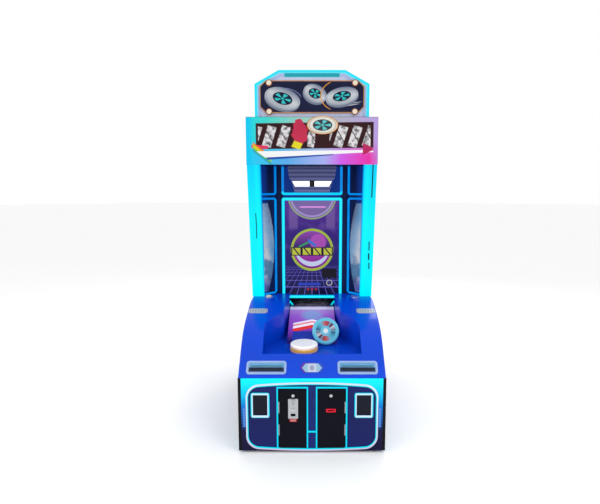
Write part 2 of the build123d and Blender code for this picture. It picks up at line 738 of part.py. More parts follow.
def button_bezels():
    y = FRONT + START_DEPTH
    ring = upright(-START_X, y, BEZEL_R, (CONSOLE_TOP, CONSOLE_TOP + 6.0))
    ring += upright(-START_X, y, START_R + BEZEL_WALL, (CONSOLE_TOP - 40.0, CONSOLE_TOP + 1.0))
    ring -= upright(-START_X, y, START_R + RUNNING, (CONSOLE_TOP - 34.0, CONSOLE_TOP + 7.0))
    return both_sides(ring)


def start_button(x):
    """Press cap guided in its bezel, with 4 mm of travel."""
    cap = upright(x, FRONT + START_DEPTH, START_R, (CONSOLE_TOP - 29.0, CONSOLE_TOP + 11.0))
    return fillet(cap.edges().group_by(Axis.Z)[-1], 4.0)


def lane_ramp():
    """Sloping lane board, level inside the tower, with its front riser."""
    start = FRONT + LANE_START
    top = FRONT + LANE_TOP_DEPTH
    end = FRONT + LANE_END
    points = [
        (start, WELL_FLOOR),
        (start, WELL_FLOOR + LANE_STEP),
        (top, LANE_TOP_Z),
        (end, LANE_TOP_Z),
        (end, LANE_TOP_Z - LANE_BOARD),
        (top, LANE_TOP_Z - LANE_BOARD),
        (start + 2 * LANE_BOARD, WELL_FLOOR),
    ]
    return side_slab(side_polygon(points), (-LANE_HALF, LANE_HALF))


def disc_catcher():
    """Rubber-faced stop at the end of the lane."""
    y = (FRONT + LANE_END - CATCHER, FRONT + LANE_END)
    return block((-LANE_HALF, LANE_HALF), y, (LANE_TOP_Z, LANE_TOP_Z + CATCHER_RISE))


def slot_light():
    """Flared light frame round the disc slot: two leaning bars."""
    y = (FRONT + CONSOLE_DEPTH + CLEAR, SCREEN_Y)
    top_x = LANE_HALF - 2 + SLOT_FLARE / 2
    low_x = LANE_HALF - SLOT_FLARE / 2
    bar = Polyline(
        (top_x, SLOT_TOP),
        (low_x, LANE_TOP_Z),
        (low_x + SLOT_BAR, LANE_TOP_Z),
        (top_x + SLOT_BAR, SLOT_TOP),
        close=True,
    )
    return both_sides(front_slab(make_face(bar), y))


# ---- Discs -----------------------------------------------------------------------

def disc_band():
    """Soft bumper band, as a ring round the disc's own axis."""
    inner = Cylinder(DISC_RADIUS - BAND_DEEP, DISC_BAND + 1)
    ring = Cylinder(DISC_RADIUS + BAND_PROUD, DISC_BAND) - inner
    return Pos(0, 0, DISC_THICK * BAND_SHARE) * ring


def disc_shell():
    """Puck body on its base at the origin, grooved for the bumper band."""
    body = Pos(0, 0, DISC_THICK / 2) * Cylinder(DISC_RADIUS, DISC_THICK)
    body = fillet(body.edges().group_by(Axis.Z)[-1], DISC_ROUND)
    body = fillet(body.edges().group_by(Axis.Z)[0], DISC_EDGE)
    return body - disc_band()


def flat_place():
    return Pos(FLAT_DISC_X, FRONT + FLAT_DISC_DEPTH, WELL_FLOOR + CLEAR)


def lean_place():
    """The leaning disc stands on its rim with its back against the lane riser."""
    lean = math.radians(LEAN_ANGLE)
    edge_y = LANE_START - (LANE_STEP * math.sin(lean) + CLEAR) / math.cos(lean)
    up = (0, math.sin(lean), math.cos(lean))
    normal = (0, -math.cos(lean), math.sin(lean))
    rise = DISC_RADIUS - DISC_EDGE + DISC_EDGE / math.cos(lean)
    origin = (LEAN_DISC_X, FRONT + edge_y + rise * up[1], WELL_FLOOR + CLEAR + rise * up[2])
    return Plane(origin=origin, x_dir=(1, 0, 0), z_dir=normal).location


# ---- Tower -----------------------------------------------------------------------

def column_polygon(front_shift, back_shift):
    foot = FRONT + COLUMN_FOOT
    head = FRONT + COLUMN_HEAD
    return side_polygon([
        (foot + front_shift, CONSOLE_TOP),
        (head + front_shift, HEADER_Z),
        (head + COLUMN_DEPTH - back_shift, HEADER_Z),
        (foot + COLUMN_DEPTH - back_shift, CONSOLE_TOP),
    ])


def column_cover():
    """Diffuser channel: front and two sides, open at the back."""
    outer = side_slab(column_polygon(0, BOARD), (-HALF, -HALF + COLUMN_WIDTH))
    inner_x = (-HALF + COLUMN_WALL, -HALF + COLUMN_WIDTH - COLUMN_WALL)
    return outer - side_slab(column_polygon(COLUMN_WALL, -BOARD), inner_x)


def column_board():
    """Back board of a light column, carrying the light strip."""
    board = side_slab(column_polygon(COLUMN_DEPTH - BOARD, 0), (-HALF, -HALF + COLUMN_WIDTH))
    x_mid = -HALF + COLUMN_WIDTH / 2
    return board + side_slab(column_polygon(COLUMN_DEPTH - BOARD - 8.0, BOARD), (x_mid - 6, x_mid + 6))



def screen_surround():
    """Dark mask board that carries the screen."""
    low = SLOT_TOP
    y = (SCREEN_Y, SCREEN_Y + BOARD)
    board = block((-SURROUND_HALF, SURROUND_HALF), y, (low, HEADER_Z))
    opening = (SCREEN_W, SCREEN_H)
    centre = (0, SCREEN_Z + SCREEN_H / 2)
    return board - front_rounded(centre, opening, 4.0, (y[0] - 1, y[1] + 1))


def screen_panel():
    """Flat display with its driver box on the back."""
    centre = (0, SCREEN_Z + SCREEN_H / 2)
    size = (SCREEN_W + 2 * SCREEN_BEZEL, SCREEN_H + 2 * SCREEN_BEZEL)
    y = SCREEN_Y + BOARD
    panel = front_rounded(centre, size, 6.0, (y, y + SCREEN_THICK / 2))
    panel += front_rounded(centre, (size[0] * 0.6, size[1] * 0.5), 6.0, (y + 20, y + SCREEN_THICK))
    glass = (SCREEN_W - 1, SCREEN_H - 1)
    return panel + front_rounded(centre, glass, 3.5, (y - 8.0, y))


def screen_light():
    """Edge-lit frame round the screen, and the open one round the bay above."""
    y = (SCREEN_Y - LIGHT_T, SCREEN_Y)
    centre = (0, SCREEN_Z + SCREEN_H / 2)
    size = (SCREEN_W + 2 * LIGHT_W, SCREEN_H + 2 * LIGHT_W - 4)
    frame = front_ring(centre, size, LIGHT_ROUND, LIGHT_W - 2, y)
    bay_low = SCREEN_Z + SCREEN_H + LIGHT_W + 16
    bay_size = (size[0], (HEADER_Z - bay_low) * 2)
    bay = front_ring((0, HEADER_Z), bay_size, LIGHT_ROUND, LIGHT_W - 6, y)
    bay -= block((-HALF, HALF), (y[0] - 1, y[1] + 1), (HEADER_Z, BIG))
    return solids_of([frame, bay])


def wing_slab(out, thick, z):
    """A slab parallel to the wing board, between two heights, clear of the light column."""
    inner = (-SURROUND_HALF, SCREEN_Y)
    column_x = -HALF + COLUMN_WIDTH
    reach = (INSIDE - SURROUND_HALF) / (-SURROUND_HALF - column_x)
    dx = (column_x - inner[0]) * reach
    dy = -WING_DEPTH * reach
    outer = (inner[0] + dx, inner[1] + dy)
    length = math.hypot(dx, dy)
    nx = -dy / length
    ny = dx / length
    points = [
        (inner[0] + nx * out, inner[1] + ny * out),
        (outer[0] + nx * out, outer[1] + ny * out),
        (outer[0] + nx * (out + thick), outer[1] + ny * (out + thick)),
        (inner[0] + nx * (out + thick), inner[1] + ny * (out + thick)),
    ]
    face = make_face(Polyline(points, close=True))
    slab = extrude(Plane.XY.offset(z[0]) * face, amount=z[1] - z[0], dir=(0, 0, 1))
    column = side_slab(column_polygon(-BIG, -CLEAR), (-BIG, column_x + CLEAR))
    outside = block((-BIG, -INSIDE), (-BIG, BIG), (0, BIG))
    return slab - column - outside


def wing_panels():
    """Angled boards between the screen board and the light columns."""
    return both_sides(wing_slab(-BOARD, BOARD, (CONSOLE_TOP, HEADER_Z)))


def wing_split():
    """Height limits of the light frame round each mirror."""
    return (CONSOLE_TOP + 7.0, SCREEN_Z + SCREEN_H + 22.0)


def wing_mirrors():
    """Mirror panes with a bowed inner edge."""
    low, high = wing_split()
    z_low = low + 25.0
    z_high = high - 40.0
    corner = -SURROUND_HALF - MIRROR_CORNER
    bow = -SURROUND_HALF - MIRROR_BOW
    edges = [
        ThreePointArc((corner, z_low), (bow, (z_low + z_high) / 2), (corner, z_high)),
        Line((corner, z_high), (-HALF, z_high)),
        Line((-HALF, z_high), (-HALF, z_low)),
        Line((-HALF, z_low), (corner, z_low)),
    ]
    pane = front_slab(make_face(Curve() + edges), (FRONT, SCREEN_Y + 50))
    return both_sides(pane & wing_slab(0.0, MIRROR_T, (CONSOLE_TOP, HEADER_Z)))


def wing_lights():
    """Edge-lit frames on the wings: one round each mirror, one round each bay above."""
    slab = wing_slab(0.0, WING_FRAME_T, (CONSOLE_TOP, HEADER_Z))
    y = (FRONT, SCREEN_Y + 50)
    low, high = wing_split()
    x = -SURROUND_HALF - WING_FRAME_W / 2 - 11.0
    size = (WING_FRAME_W, high - low)
    frame = front_ring((x, (low + high) / 2), size, WING_ROUND, WING_FRAME_BAR, y)
    bay_size = (WING_FRAME_W, 2 * (HEADER_Z - high - BOARD))
    bay = front_ring((x, HEADER_Z), bay_size, WING_ROUND, WING_FRAME_BAR, y)
    pieces = []
    for ring in (frame, bay):
        pieces.append(ring & slab)
        pieces.append(mirrored(ring & slab))
    return solids_of(pieces)


def lens_outline(grow):
    foot = HEADER_Z - POD_HEIGHT
    low = foot + LENS_Z[0] - grow
    high = foot + LENS_Z[1] + grow
    near = -LENS_HALF[0] + grow
    far = -LENS_HALF[1] - grow
    lens = Polyline((far, high), (near, high), (near, low), (far + LENS_FLARE, low), close=True)
    y = SCREEN_Y - POD_DEPTH + 20
    return front_slab(make_face(lens), (y - 1.0, y + 8.0))


def lamp_pod():
    """Stepped hood over a pair of lamps, in the bay above the screen."""
    foot = HEADER_Z - POD_HEIGHT
    right = [(125, foot), (150, foot + 86), (165, foot + 104), (175, HEADER_Z)]
    left = [(-x, z) for x, z in reversed(right)]
    mask = make_face(Polyline(right + left, close=True))
    pod = front_slab(mask, (SCREEN_Y - POD_DEPTH + 20, SCREEN_Y))
    for step, rise in enumerate(POD_STEPS):
        half = 172.0 - step * 8.0
        y = (SCREEN_Y - POD_DEPTH - 16 + step * 9, SCREEN_Y)
        pod += block((-half, half), y, (foot + rise, foot + rise + POD_STEP))
    pocket = lens_outline(1.0)
    return pod - pocket - mirrored(pocket)


def lamp_lenses():
    return both_sides(lens_outline(0.0))


# ---- Header and topper -----------------------------------------------------------

def header_box():
    """Open-fronted light box across the tower."""
    y = (FRONT + HEADER_FACE + FACE_T, FRONT + HEADER_FACE + HEADER_DEPTH)
    inner = HALF - HEADER_WALL
    body = block((-HALF, HALF), y, (HEADER_Z, HEADER_TOP))
    hollow_z = (HEADER_Z + HEADER_WALL, HEADER_TOP - HEADER_WALL)
    return body - block((-inner, inner), (y[0] - 1, y[1] - HEADER_WALL), hollow_z)


def header_face():
    centre = (0, HEADER_Z + HEADER_HEIGHT / 2)
    y = (FRONT + HEADER_FACE, FRONT + HEADER_FACE + FACE_T)
    return front_rounded(centre, (WIDTH, HEADER_HEIGHT), 10.0, y)


def topper_outline(inset):
    half = TOPPER_HALF - inset
    top_half = TOPPER_TOP_HALF - inset * 0.4
    low = HEADER_TOP + SHEET + inset
    points = [
        (-half, low), (-half, TOPPER_SIDE_Z - inset * 0.3), (-top_half, HEIGHT - inset),
        (top_half, HEIGHT - inset), (half, TOPPER_SIDE_Z - inset * 0.3), (half, low),
    ]
    return make_face(Polyline(points, close=True))


def stud_holes(y):
    """Screw holes for the four studs, between two y limits."""
    holes = []
    for x in (-TOPPER_STUD_X, TOPPER_STUD_X):
        for z in TOPPER_STUD_Z:
            holes.append(front_disc((x, z), TOPPER_STUD_R[2] + CLEAR, y))
    return holes


def topper_box():
    """Edge-lit topper case, open at the back, with a vent slot near the top."""
    y = (FRONT + TOPPER_FRONT, FRONT + TOPPER_FRONT + TOPPER_DEPTH)
    case = front_slab(topper_outline(0.0), y)
    case -= front_slab(topper_outline(TOPPER_WALL), (y[0] + 10.0, y[1] + 1.0))
    case -= front_rounded((0, HEIGHT - 32.0), TOPPER_SLOT, 4.0, (y[0] - 1, y[0] + 6))
    return case - stud_holes((y[0] - 1, y[0] + 11))


def topper_panel():
    """Printed panel with cut corners, held off the case by four studs."""
    low, high = TOPPER_PANEL_Z
    cut = TOPPER_PANEL_CUT
    half = TOPPER_PANEL_HALF
    right = [(half - cut, low), (half, low + cut), (half, high - cut), (half - cut, high)]
    left = [(-x, z) for x, z in reversed(right)]
    back = FRONT + TOPPER_FRONT - TOPPER_PANEL_GAP
    panel = front_slab(make_face(Polyline(right + left, close=True)), (back - 5.0, back))
    return panel - stud_holes((back - 6.0, back + 1.0))


def topper_studs():
    """Round caps, each on a collar and a screw into the case."""
    face = FRONT + TOPPER_FRONT
    panel = face - TOPPER_PANEL_GAP - 5.0
    cap, collar, screw = TOPPER_STUD_R
    studs = []
    for x in (-TOPPER_STUD_X, TOPPER_STUD_X):
        for z in TOPPER_STUD_Z:
            stud = front_disc((x, z), cap, (panel - 8.0, panel))
            stud = fillet(stud.edges().group_by(Axis.Y)[0], 4.0)
            stud += front_disc((x, z), screw, (panel, face + 8.0))
            stud += front_disc((x, z), collar, (face - TOPPER_PANEL_GAP, face))
            studs.append(stud)
    return solids_of(studs)


# ---- Back, electrics and fan -----------------------------------------------------

def back_panel():
    """Back board with the service opening, and the roof sheet."""
    through = (BACK - BOARD - 1, BACK + 1)
    wall = block((-HALF, HALF), (BACK - BOARD, BACK), (SKIRT_Z, HEADER_TOP))
    centre = (0, REAR_DOOR_Z + REAR_DOOR_H / 2)
    opening = (REAR_DOOR_W - 2 * REAR_LAP, REAR_DOOR_H - 2 * REAR_LAP)
    wall -= front_rounded(centre, opening, 5.0, through)
    wall -= front_disc((0, FAN_Z), FAN_BORE - 4, through)
    wall -= front_rounded(INLET, INLET_SIZE, 3.0, through)
    roof_y = (FRONT + HEADER_FACE + FACE_T, BACK)
    return wall + block((-HALF, HALF), roof_y, (HEADER_TOP, HEADER_TOP + SHEET))


def fan_frame():
    """Square fan frame with its rear struts and the pin that the rotor turns on."""
    y = (BACK - BOARD - FAN_DEPTH, BACK - BOARD)
    strut_y = (y[1] - SHEET, y[1])
    frame = front_rounded((0, FAN_Z), (FAN_SIZE, FAN_SIZE), 6.0, y)
    frame -= front_disc((0, FAN_Z), FAN_BORE, (y[0] - 1, y[1] + 1))
    strut = block((0, FAN_BORE + 1), strut_y, (-3.0, 3.0))
    for turn in range(4):
        frame += Pos(0, 0, FAN_Z) * Rot(0, 45 + 90 * turn, 0) * strut
    frame += front_disc((0, FAN_Z), FAN_HUB + 1.0, strut_y)
    return frame + front_disc((0, FAN_Z), FAN_PIN, (y[0] + 3.0, strut_y[0]))


def fan_rotor():
    y = (BACK - BOARD - FAN_DEPTH + 3.0, BACK - BOARD - 4.0)
    mid = (y[0] + y[1]) / 2
    reach = FAN_BORE - 3.0
    length = reach - FAN_HUB + 1.0
    blade = Pos(0, 0, reach - length / 2) * Rot(0, 0, 35) * Box(26.0, 1.6, length)
    rotor = front_disc((0, FAN_Z), FAN_HUB, y)
    for turn in range(FAN_BLADES):
        rotor += Pos(0, mid, FAN_Z) * Rot(0, 360 / FAN_BLADES * turn, 0) * blade
    return rotor - front_disc((0, FAN_Z), FAN_PIN + RUNNING, (y[0] - 1, y[1] + 1))


def power_unit():
    """Supply on the floor with its inlet reaching through the back board."""
    width, depth, height = POWER_UNIT
    y = (BACK - BOARD - depth, BACK - BOARD)
    face = BACK + 5.0
    socket_back = face - SOCKET_DEEP
    unit = block((INLET[0] - width / 2, INLET[0] + width / 2), y, (FLOOR_TOP, FLOOR_TOP + height))
    size = (INLET_SIZE[0] - 1.0, INLET_SIZE[1] - 1.0)
    unit += front_rounded(INLET, size, 2.6, (y[1], face))
    unit -= front_rounded(INLET, SOCKET, 2.0, (socket_back, face + 1.0))
    for x in (-7.0, 0.0, 7.0):
        pin_x = (INLET[0] + x - 1, INLET[0] + x + 1)
        unit += block(pin_x, (socket_back, face - SHEET), (INLET[1] - 3, INLET[1] + 3))
    return unit


def computer_case():
    """Computer case lying on the floor board, with vent slits in its front."""
    width, depth, height = COMPUTER
    y = (FRONT + CONSOLE_DEPTH + 70.0, FRONT + CONSOLE_DEPTH + 70.0 + depth)
    case = block((-60, width - 60), y, (FLOOR_TOP, FLOOR_TOP + height))
    for row in range(6):
        z = FLOOR_TOP + 30.0 + row * 14.0
        case -= block((60, 180), (y[0] - 1, y[0] + 2), (z, z + 5.0))
    return case


def build():
    os.makedirs("parts", exist_ok=True)
    save("base_floor", base_floor())
    names = ["foot_front_left", "foot_front_right", "foot_rear_left", "foot_rear_right"]
    for name, place in zip(names, foot_places()):
        save(name, levelling_foot(*place))
    wheel_x = HALF - WHEEL_INSET_X
    wheel_y = BACK - WHEEL_INSET_Y
    save("wheel_brackets", solids_of([wheel_bracket(-wheel_x, wheel_y), wheel_bracket(wheel_x, wheel_y)]))
    save("wheel_left", wheel(-wheel_x, wheel_y))
    save("wheel_right", wheel(wheel_x, wheel_y))
    save("base_frame", base_frame())
    save("side_panel_left", side_panel())
    save("side_panel_right", mirrored(side_panel()))
    save("front_panel", front_panel())
    save("corner_trims", corner_trims())
    save("outline_light", outline_light())
    save("panel_lights", panel_lights())
    save("window_panes", window_panes())
    save("coin_door", coin_door())
    save("ticket_door", ticket_door())
    save("door_hinges", solids_of([hinge_half(-1), hinge_half(1), rear_hinge()]))
    save("coin_door_lock", door_lock(-DOOR_X))
    save("ticket_door_lock", door_lock(DOOR_X))
    save("coin_mech", solids_of([coin_plate(), coin_mech()]))
    save("coin_return_button", coin_return_button())
    save("ticket_mouth", ticket_mouth())
    save("cash_box", cash_box())
    save("ticket_dispenser", ticket_dispenser())
    save("console_shell", console_shell())
    save("speaker_grilles", speaker_grilles())
    save("speaker_drivers", speaker_drivers())
    save("emblem_plate", emblem_plate())
    save("button_bezels", button_bezels())
    save("start_button_left", start_button(-START_X))
    save("start_button_right", start_button(START_X))
    save("lane_ramp", lane_ramp())
    save("disc_catcher", disc_catcher())
    save("slot_light", slot_light())
    save("disc_flat", flat_place() * disc_shell())
    save("disc_flat_band", flat_place() * disc_band())
    save("disc_leaning", lean_place() * (disc_shell() + disc_band()))
    save("column_covers", both_sides(column_cover()))
    save("column_boards", both_sides(column_board()))
    save("screen_surround", screen_surround())
    save("screen_panel", screen_panel())
    save("tower_lights", solids_of([screen_light(), wing_lights()]))
    save("wing_panels", wing_panels())
    save("wing_mirrors", wing_mirrors())
    save("lamp_pod", lamp_pod())
    save("lamp_lenses", lamp_lenses())
    save("header_box", header_box())
    save("header_face", header_face())
    save("topper_box", topper_box())
    save("topper_panel", topper_panel())
    save("topper_studs", topper_studs())
    save("back_panel", back_panel())
    save("rear_door", rear_door())
    save("rear_door_lock", rear_door_lock())
    save("fan_frame", fan_frame())
    save("fan_rotor", fan_rotor())
    save("power_unit", power_unit())
    save("computer_case", computer_case())


build()
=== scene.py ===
"""Finishes for a disc-sliding redemption cabinet, laid over its packed CAD frame.

Lengths are metres in the CAD frame: front towards -Y, +Z up.
"""
import math

import bmesh
import bpy
import numpy as np
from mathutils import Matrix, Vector


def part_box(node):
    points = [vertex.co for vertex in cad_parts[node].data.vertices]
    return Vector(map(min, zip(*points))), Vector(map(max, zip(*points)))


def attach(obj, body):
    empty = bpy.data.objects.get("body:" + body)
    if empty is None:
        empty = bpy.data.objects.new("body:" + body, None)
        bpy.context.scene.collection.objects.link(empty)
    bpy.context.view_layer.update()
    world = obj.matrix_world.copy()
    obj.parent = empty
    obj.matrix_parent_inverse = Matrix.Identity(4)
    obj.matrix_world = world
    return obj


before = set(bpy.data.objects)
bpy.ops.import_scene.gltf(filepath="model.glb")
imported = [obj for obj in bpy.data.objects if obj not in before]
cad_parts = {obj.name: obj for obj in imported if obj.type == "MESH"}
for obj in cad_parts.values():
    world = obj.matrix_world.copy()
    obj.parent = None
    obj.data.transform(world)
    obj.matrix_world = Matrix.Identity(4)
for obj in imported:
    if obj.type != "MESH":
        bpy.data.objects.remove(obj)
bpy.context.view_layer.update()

bl_info = {
    "name": "Disc cabinet finishes",
    "version": (1, 0, 0),
    "blender": (4, 5, 0),
    "location": "3D View > Sidebar > Cabinet",
    "description": "Materials, lights and trim for a disc-sliding cabinet",
    "category": "Object",
}

BLACK = (0.0, 0.0, 0.0)
SENSOR_WIDTH = 36.0


# ---- Shader maths ----------------------------------------------------------------

def rgba(colour):
    """The colour with an opacity of 1 if it has none."""
    return tuple(colour) + (1.0,) if len(colour) == 3 else tuple(colour)


class Value:
    """A shader socket that takes part in arithmetic; each operation adds a Math node."""

    def __init__(self, look, socket):
        self.look = look
        self.socket = socket

    def math(self, operation, *others):
        """Math node of this value and others."""
        sockets = dict(enumerate((self,) + others))
        return self.look.node("ShaderNodeMath", {"operation": operation}, sockets)

    def __add__(self, other):
        return self.math("ADD", other)

    __radd__ = __add__

    def __sub__(self, other):
        return self.math("SUBTRACT", other)

    def __rsub__(self, other):
        return self.look.node("ShaderNodeMath", {"operation": "SUBTRACT"}, {0: other, 1: self})

    def __mul__(self, other):
        return self.math("MULTIPLY", other)

    __rmul__ = __mul__

    def __truediv__(self, other):
        return self.math("DIVIDE", other)

    def __rtruediv__(self, other):
        return self.look.node("ShaderNodeMath", {"operation": "DIVIDE"}, {0: other, 1: self})

    def __abs__(self):
        return self.math("ABSOLUTE")

    def __pow__(self, other):
        return self.math("POWER", other)

    def smaller(self, other):
        """The lower of two values."""
        return self.math("MINIMUM", other)

    def larger(self, other):
        """The higher of two values."""
        return self.math("MAXIMUM", other)

    def wrap(self, period):
        """Repeats over a period, from minus half of it to half."""
        return self.math("WRAP", period / 2, -period / 2)

    def step(self, low, high):
        """0 below low, 1 above high, smooth between; falls instead where low is above high."""
        settings = {"interpolation_type": "SMOOTHSTEP"}
        return self.look.node(
            "ShaderNodeMapRange", settings, {0: self, 1: low, 2: high, 3: 0.0, 4: 1.0})

    def band(self, low, high, soft=0.001):
        """1 from low to high and 0 outside, with soft edges."""
        return self.step(low - soft, low + soft) * self.step(high + soft, high - soft)


class Look:
    """One material: its Principled shader, and the nodes that feed it."""

    def __init__(self, name, **constants):
        self.material = bpy.data.materials.new(name)
        self.material.use_nodes = True
        self.tree = self.material.node_tree
        self.shader = self.tree.nodes["Principled BSDF"]
        self.shader.inputs["Specular IOR Level"].default_value = 0.1
        for socket, value in constants.items():
            self.shader.inputs[socket.replace("_", " ")].default_value = value
        place = self.tree.nodes.new("ShaderNodeTexCoord")
        self.place = Value(self, place.outputs["Object"])
        parts = self.tree.nodes.new("ShaderNodeSeparateXYZ")
        self.tree.links.new(place.outputs["Object"], parts.inputs[0])
        self.x, self.y, self.z = (Value(self, parts.outputs[axis]) for axis in "XYZ")

    def node(self, kind, settings=None, sockets=None, output=0):
        """Adds a node: its settings first, then values or links for its sockets."""
        made = self.tree.nodes.new(kind)
        for key, value in (settings or {}).items():
            if key == "stops":
                self.set_stops(made.color_ramp, value)
            else:
                setattr(made, key, value)
        for key, value in (sockets or {}).items():
            if isinstance(value, Value):
                self.tree.links.new(value.socket, made.inputs[key])
            else:
                made.inputs[key].default_value = value
        return Value(self, made.outputs[output])

    @staticmethod
    def set_stops(ramp, stops):
        """Gives a colour ramp its stops, each a position and a colour."""
        while len(ramp.elements) < len(stops):
            ramp.elements.new(1.0)
        for element, (position, colour) in zip(ramp.elements, stops):
            element.position = position
            element.color = rgba(colour)

    def ramp(self, value, *stops):
        """Colour of a value along its stops."""
        return self.node("ShaderNodeValToRGB", {"stops": stops}, {0: value})

    def mix(self, under, over, factor):
        """Colour over laid on colour under where factor is 1."""
        colours = [c if isinstance(c, Value) else rgba(c) for c in (under, over)]
        sockets = {0: factor, 6: colours[0], 7: colours[1]}
        return self.node("ShaderNodeMix", {"data_type": "RGBA"}, sockets, 2)

    def paint(self, colour, *layers):
        """Lays each layer, a colour and its mask, over those before it."""
        for over, mask in layers:
            colour = self.mix(colour, over, mask)
        return colour

    def noise(self, scale, detail=3.0, stretch=None):
        """Noise from 0 to 1, scaled by axis where stretch is given."""
        place = self.place
        if stretch:
            place = self.node("ShaderNodeMapping", {}, {0: place, 3: stretch})
        sockets = {"Vector": place, "Scale": scale, "Detail": detail}
        return self.node("ShaderNodeTexNoise", {}, sockets)

    def feed(self, **links):
        """Joins values to the shader's sockets, or sets them."""
        for key, value in links.items():
            socket = self.shader.inputs[key.replace("_", " ")]
            if isinstance(value, Value):
                self.tree.links.new(value.socket, socket)
            else:
                socket.default_value = value if isinstance(value, float) else rgba(value)
        return self

    def glow(self, colour, **links):
        """Gives out the colour, over a surface of it that is darker the brighter it glows."""
        strength = self.shader.inputs["Emission Strength"].default_value
        under = self.mix(BLACK, colour, max(0.12, 0.85 - strength))
        return self.feed(Base_Color=under, Emission_Color=colour, **links)

    def bump(self, height, depth, strength=0.4):
        """Relief of a depth in metres where height is 1."""
        sockets = {"Height": height, "Distance": depth, "Strength": strength}
        normal = self.node("ShaderNodeBump", {}, sockets)
        self.tree.links.new(normal.socket, self.shader.inputs["Normal"])
        return self

    def grain(self, scale, strength=0.2):
        """Fine even relief."""
        return self.bump(self.noise(scale), 0.0001, strength)

    # Masks: 1 inside a shape, 0 outside, with a soft edge.

    def panel(self, u, v, centre, size, soft=0.001):
        """A rectangle."""
        across = u.band(centre[0] - size[0] / 2, centre[0] + size[0] / 2, soft)
        return across * v.band(centre[1] - size[1] / 2, centre[1] + size[1] / 2, soft)

    def far(self, u, v, centre, stretch=1.0):
        """Distance from a centre, with v stretched by a factor."""
        du = u - centre[0]
        dv = (v - centre[1]) * stretch
        return (du * du + dv * dv) ** 0.5

    def spot(self, u, v, centre, radius, soft=0.001, stretch=1.0):
        """A disc."""
        return self.far(u, v, centre, stretch).step(radius + soft, radius - soft)

    def spokes(self, u, v, radius):
        """A plain five-spoked wheel of that radius."""
        turn = v.math("ARCTAN2", u).wrap(math.tau / 5)
        away = self.far(u, v, (0.0, 0.0))
        spoke = turn.band(-0.3, 0.3, 0.05) * away.band(radius * 0.3, radius, radius * 0.05)
        return spoke.larger(away.step(radius * 0.22, radius * 0.16))

    def ring(self, u, v, centre, radius, width, soft=0.001, stretch=1.0):
        """A ring of a width."""
        away = abs(self.far(u, v, centre, stretch) - radius)
        return away.step(width / 2 + soft, width / 2 - soft)


def tone(name):
    """One of the sidebar colours."""
    return tuple(getattr(bpy.context.scene.cabinet_colours, name))


def darker(colour, share):
    """The colour with each part multiplied by a share; above 1 it is lighter."""
    return tuple(c * share for c in colour)


def surface(name, colour, rough, spread=0.1, grain=500.0, depth=0.00015, **constants):
    """A finish with slow colour drift, fine grain in its bump and an uneven polish."""
    look = Look(name, **constants)
    cloud = look.noise(5.0, 4.0)
    grit = look.noise(grain, 2.0)
    scuff = look.noise(38.0, 6.0).step(0.62, 0.78)
    tint = look.mix(darker(colour, 0.82), colour, cloud.step(0.3, 0.7))
    look.feed(
        Base_Color=look.mix(tint, darker(colour, 1.25), scuff * 0.25),
        Roughness=(cloud * spread + (rough - spread / 2) + scuff * 0.08).larger(0.03),
    )
    return look.bump(grit, depth)


def lit_surface(name, strength, colour, rough=0.25):
    """A lamp diffuser."""
    look = Look(name, **{"Emission_Strength": strength})
    cloud = look.noise(30.0, 3.0)
    return look.glow(look.mix(colour, darker(colour, 0.85), cloud), Roughness=cloud * 0.1 + rough)


def dress(look, *nodes):
    """Gives the finish to CAD nodes."""
    for name in nodes:
        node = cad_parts[name]
        if node.material_slots:
            node.material_slots[0].material = look.material
        else:
            node.data.materials.append(look.material)


# ---- Surfaces worked out on a grid ---------------------------------------------------

def grid_faces(rows, columns):
    """Quads over a grid of rows by columns, its last column joined to its first."""
    row, column = np.meshgrid(np.arange(rows - 1), np.arange(columns), indexing="ij")
    beside = (column + 1) % columns
    corners = (row * columns + column, row * columns + beside,
               (row + 1) * columns + beside, (row + 1) * columns + column)
    return np.stack(corners, axis=-1).reshape(-1, 4)


def make_piece(name, grids, look, body="cabinet"):
    """One object from grids of points, each shaped (rows, columns, 3), with its ends capped."""
    points, faces, start = [], [], 0
    for grid in grids:
        rows, columns = grid.shape[:2]
        points.append(grid.reshape(-1, 3))
        faces.extend((grid_faces(rows, columns) + start).tolist())
        first = np.arange(columns) + start
        faces.append(first[::-1].tolist())
        faces.append((first + (rows - 1) * columns).tolist())
        start += rows * columns
    mesh = bpy.data.meshes.new(name)
    mesh.from_pydata(np.concatenate(points).tolist(), [], faces)
    mesh.validate()
    mesh.materials.append(look.material)
    mesh.shade_smooth()
    piece = bpy.data.objects.new(name, mesh)
    bpy.context.scene.collection.objects.link(piece)
    outward(piece)
    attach(piece, body)
    return piece


def outward(piece):
    """Turns every face outwards."""
    shape = bmesh.new()
    shape.from_mesh(piece.data)
    bmesh.ops.remove_doubles(shape, verts=shape.verts, dist=1e-6)
    bmesh.ops.recalc_face_normals(shape, faces=shape.faces)
    shape.to_mesh(piece.data)
    shape.free()


def dome(centre, out, size, profile, columns):
    """An oval button facing along Y: out is 1 or -1, size its two half widths.

    x and z are profile radius times the cosine and sine of the turn, y is profile height.
    """
    turn = np.linspace(0.0, 2 * np.pi, columns, endpoint=False)
    radius, height = profile
    x = centre[0] + np.outer(radius, np.cos(turn)) * size[0]
    z = centre[2] - out * np.outer(radius, np.sin(turn)) * size[1]
    y = np.broadcast_to((centre[1] + out * height)[:, None], x.shape)
    return np.stack([x, y, z], axis=-1)


def rounded_loop(half, radius, columns=48):
    """A rounded rectangle as one closed loop of points.

    u and v are the half sizes times the turn's cosine and sine, each brought to a power that
    falls as the corner radius does.
    """
    turn = np.linspace(0.0, 2 * np.pi, columns, endpoint=False)
    power = 2.0 / (2.0 + 6.0 * (1.0 - radius / min(half)))
    c, s = np.cos(turn), np.sin(turn)
    return np.sign(c) * np.abs(c) ** power * half[0], np.sign(s) * np.abs(s) ** power * half[1]


# ---- Places, from the CAD nodes ------------------------------------------------------

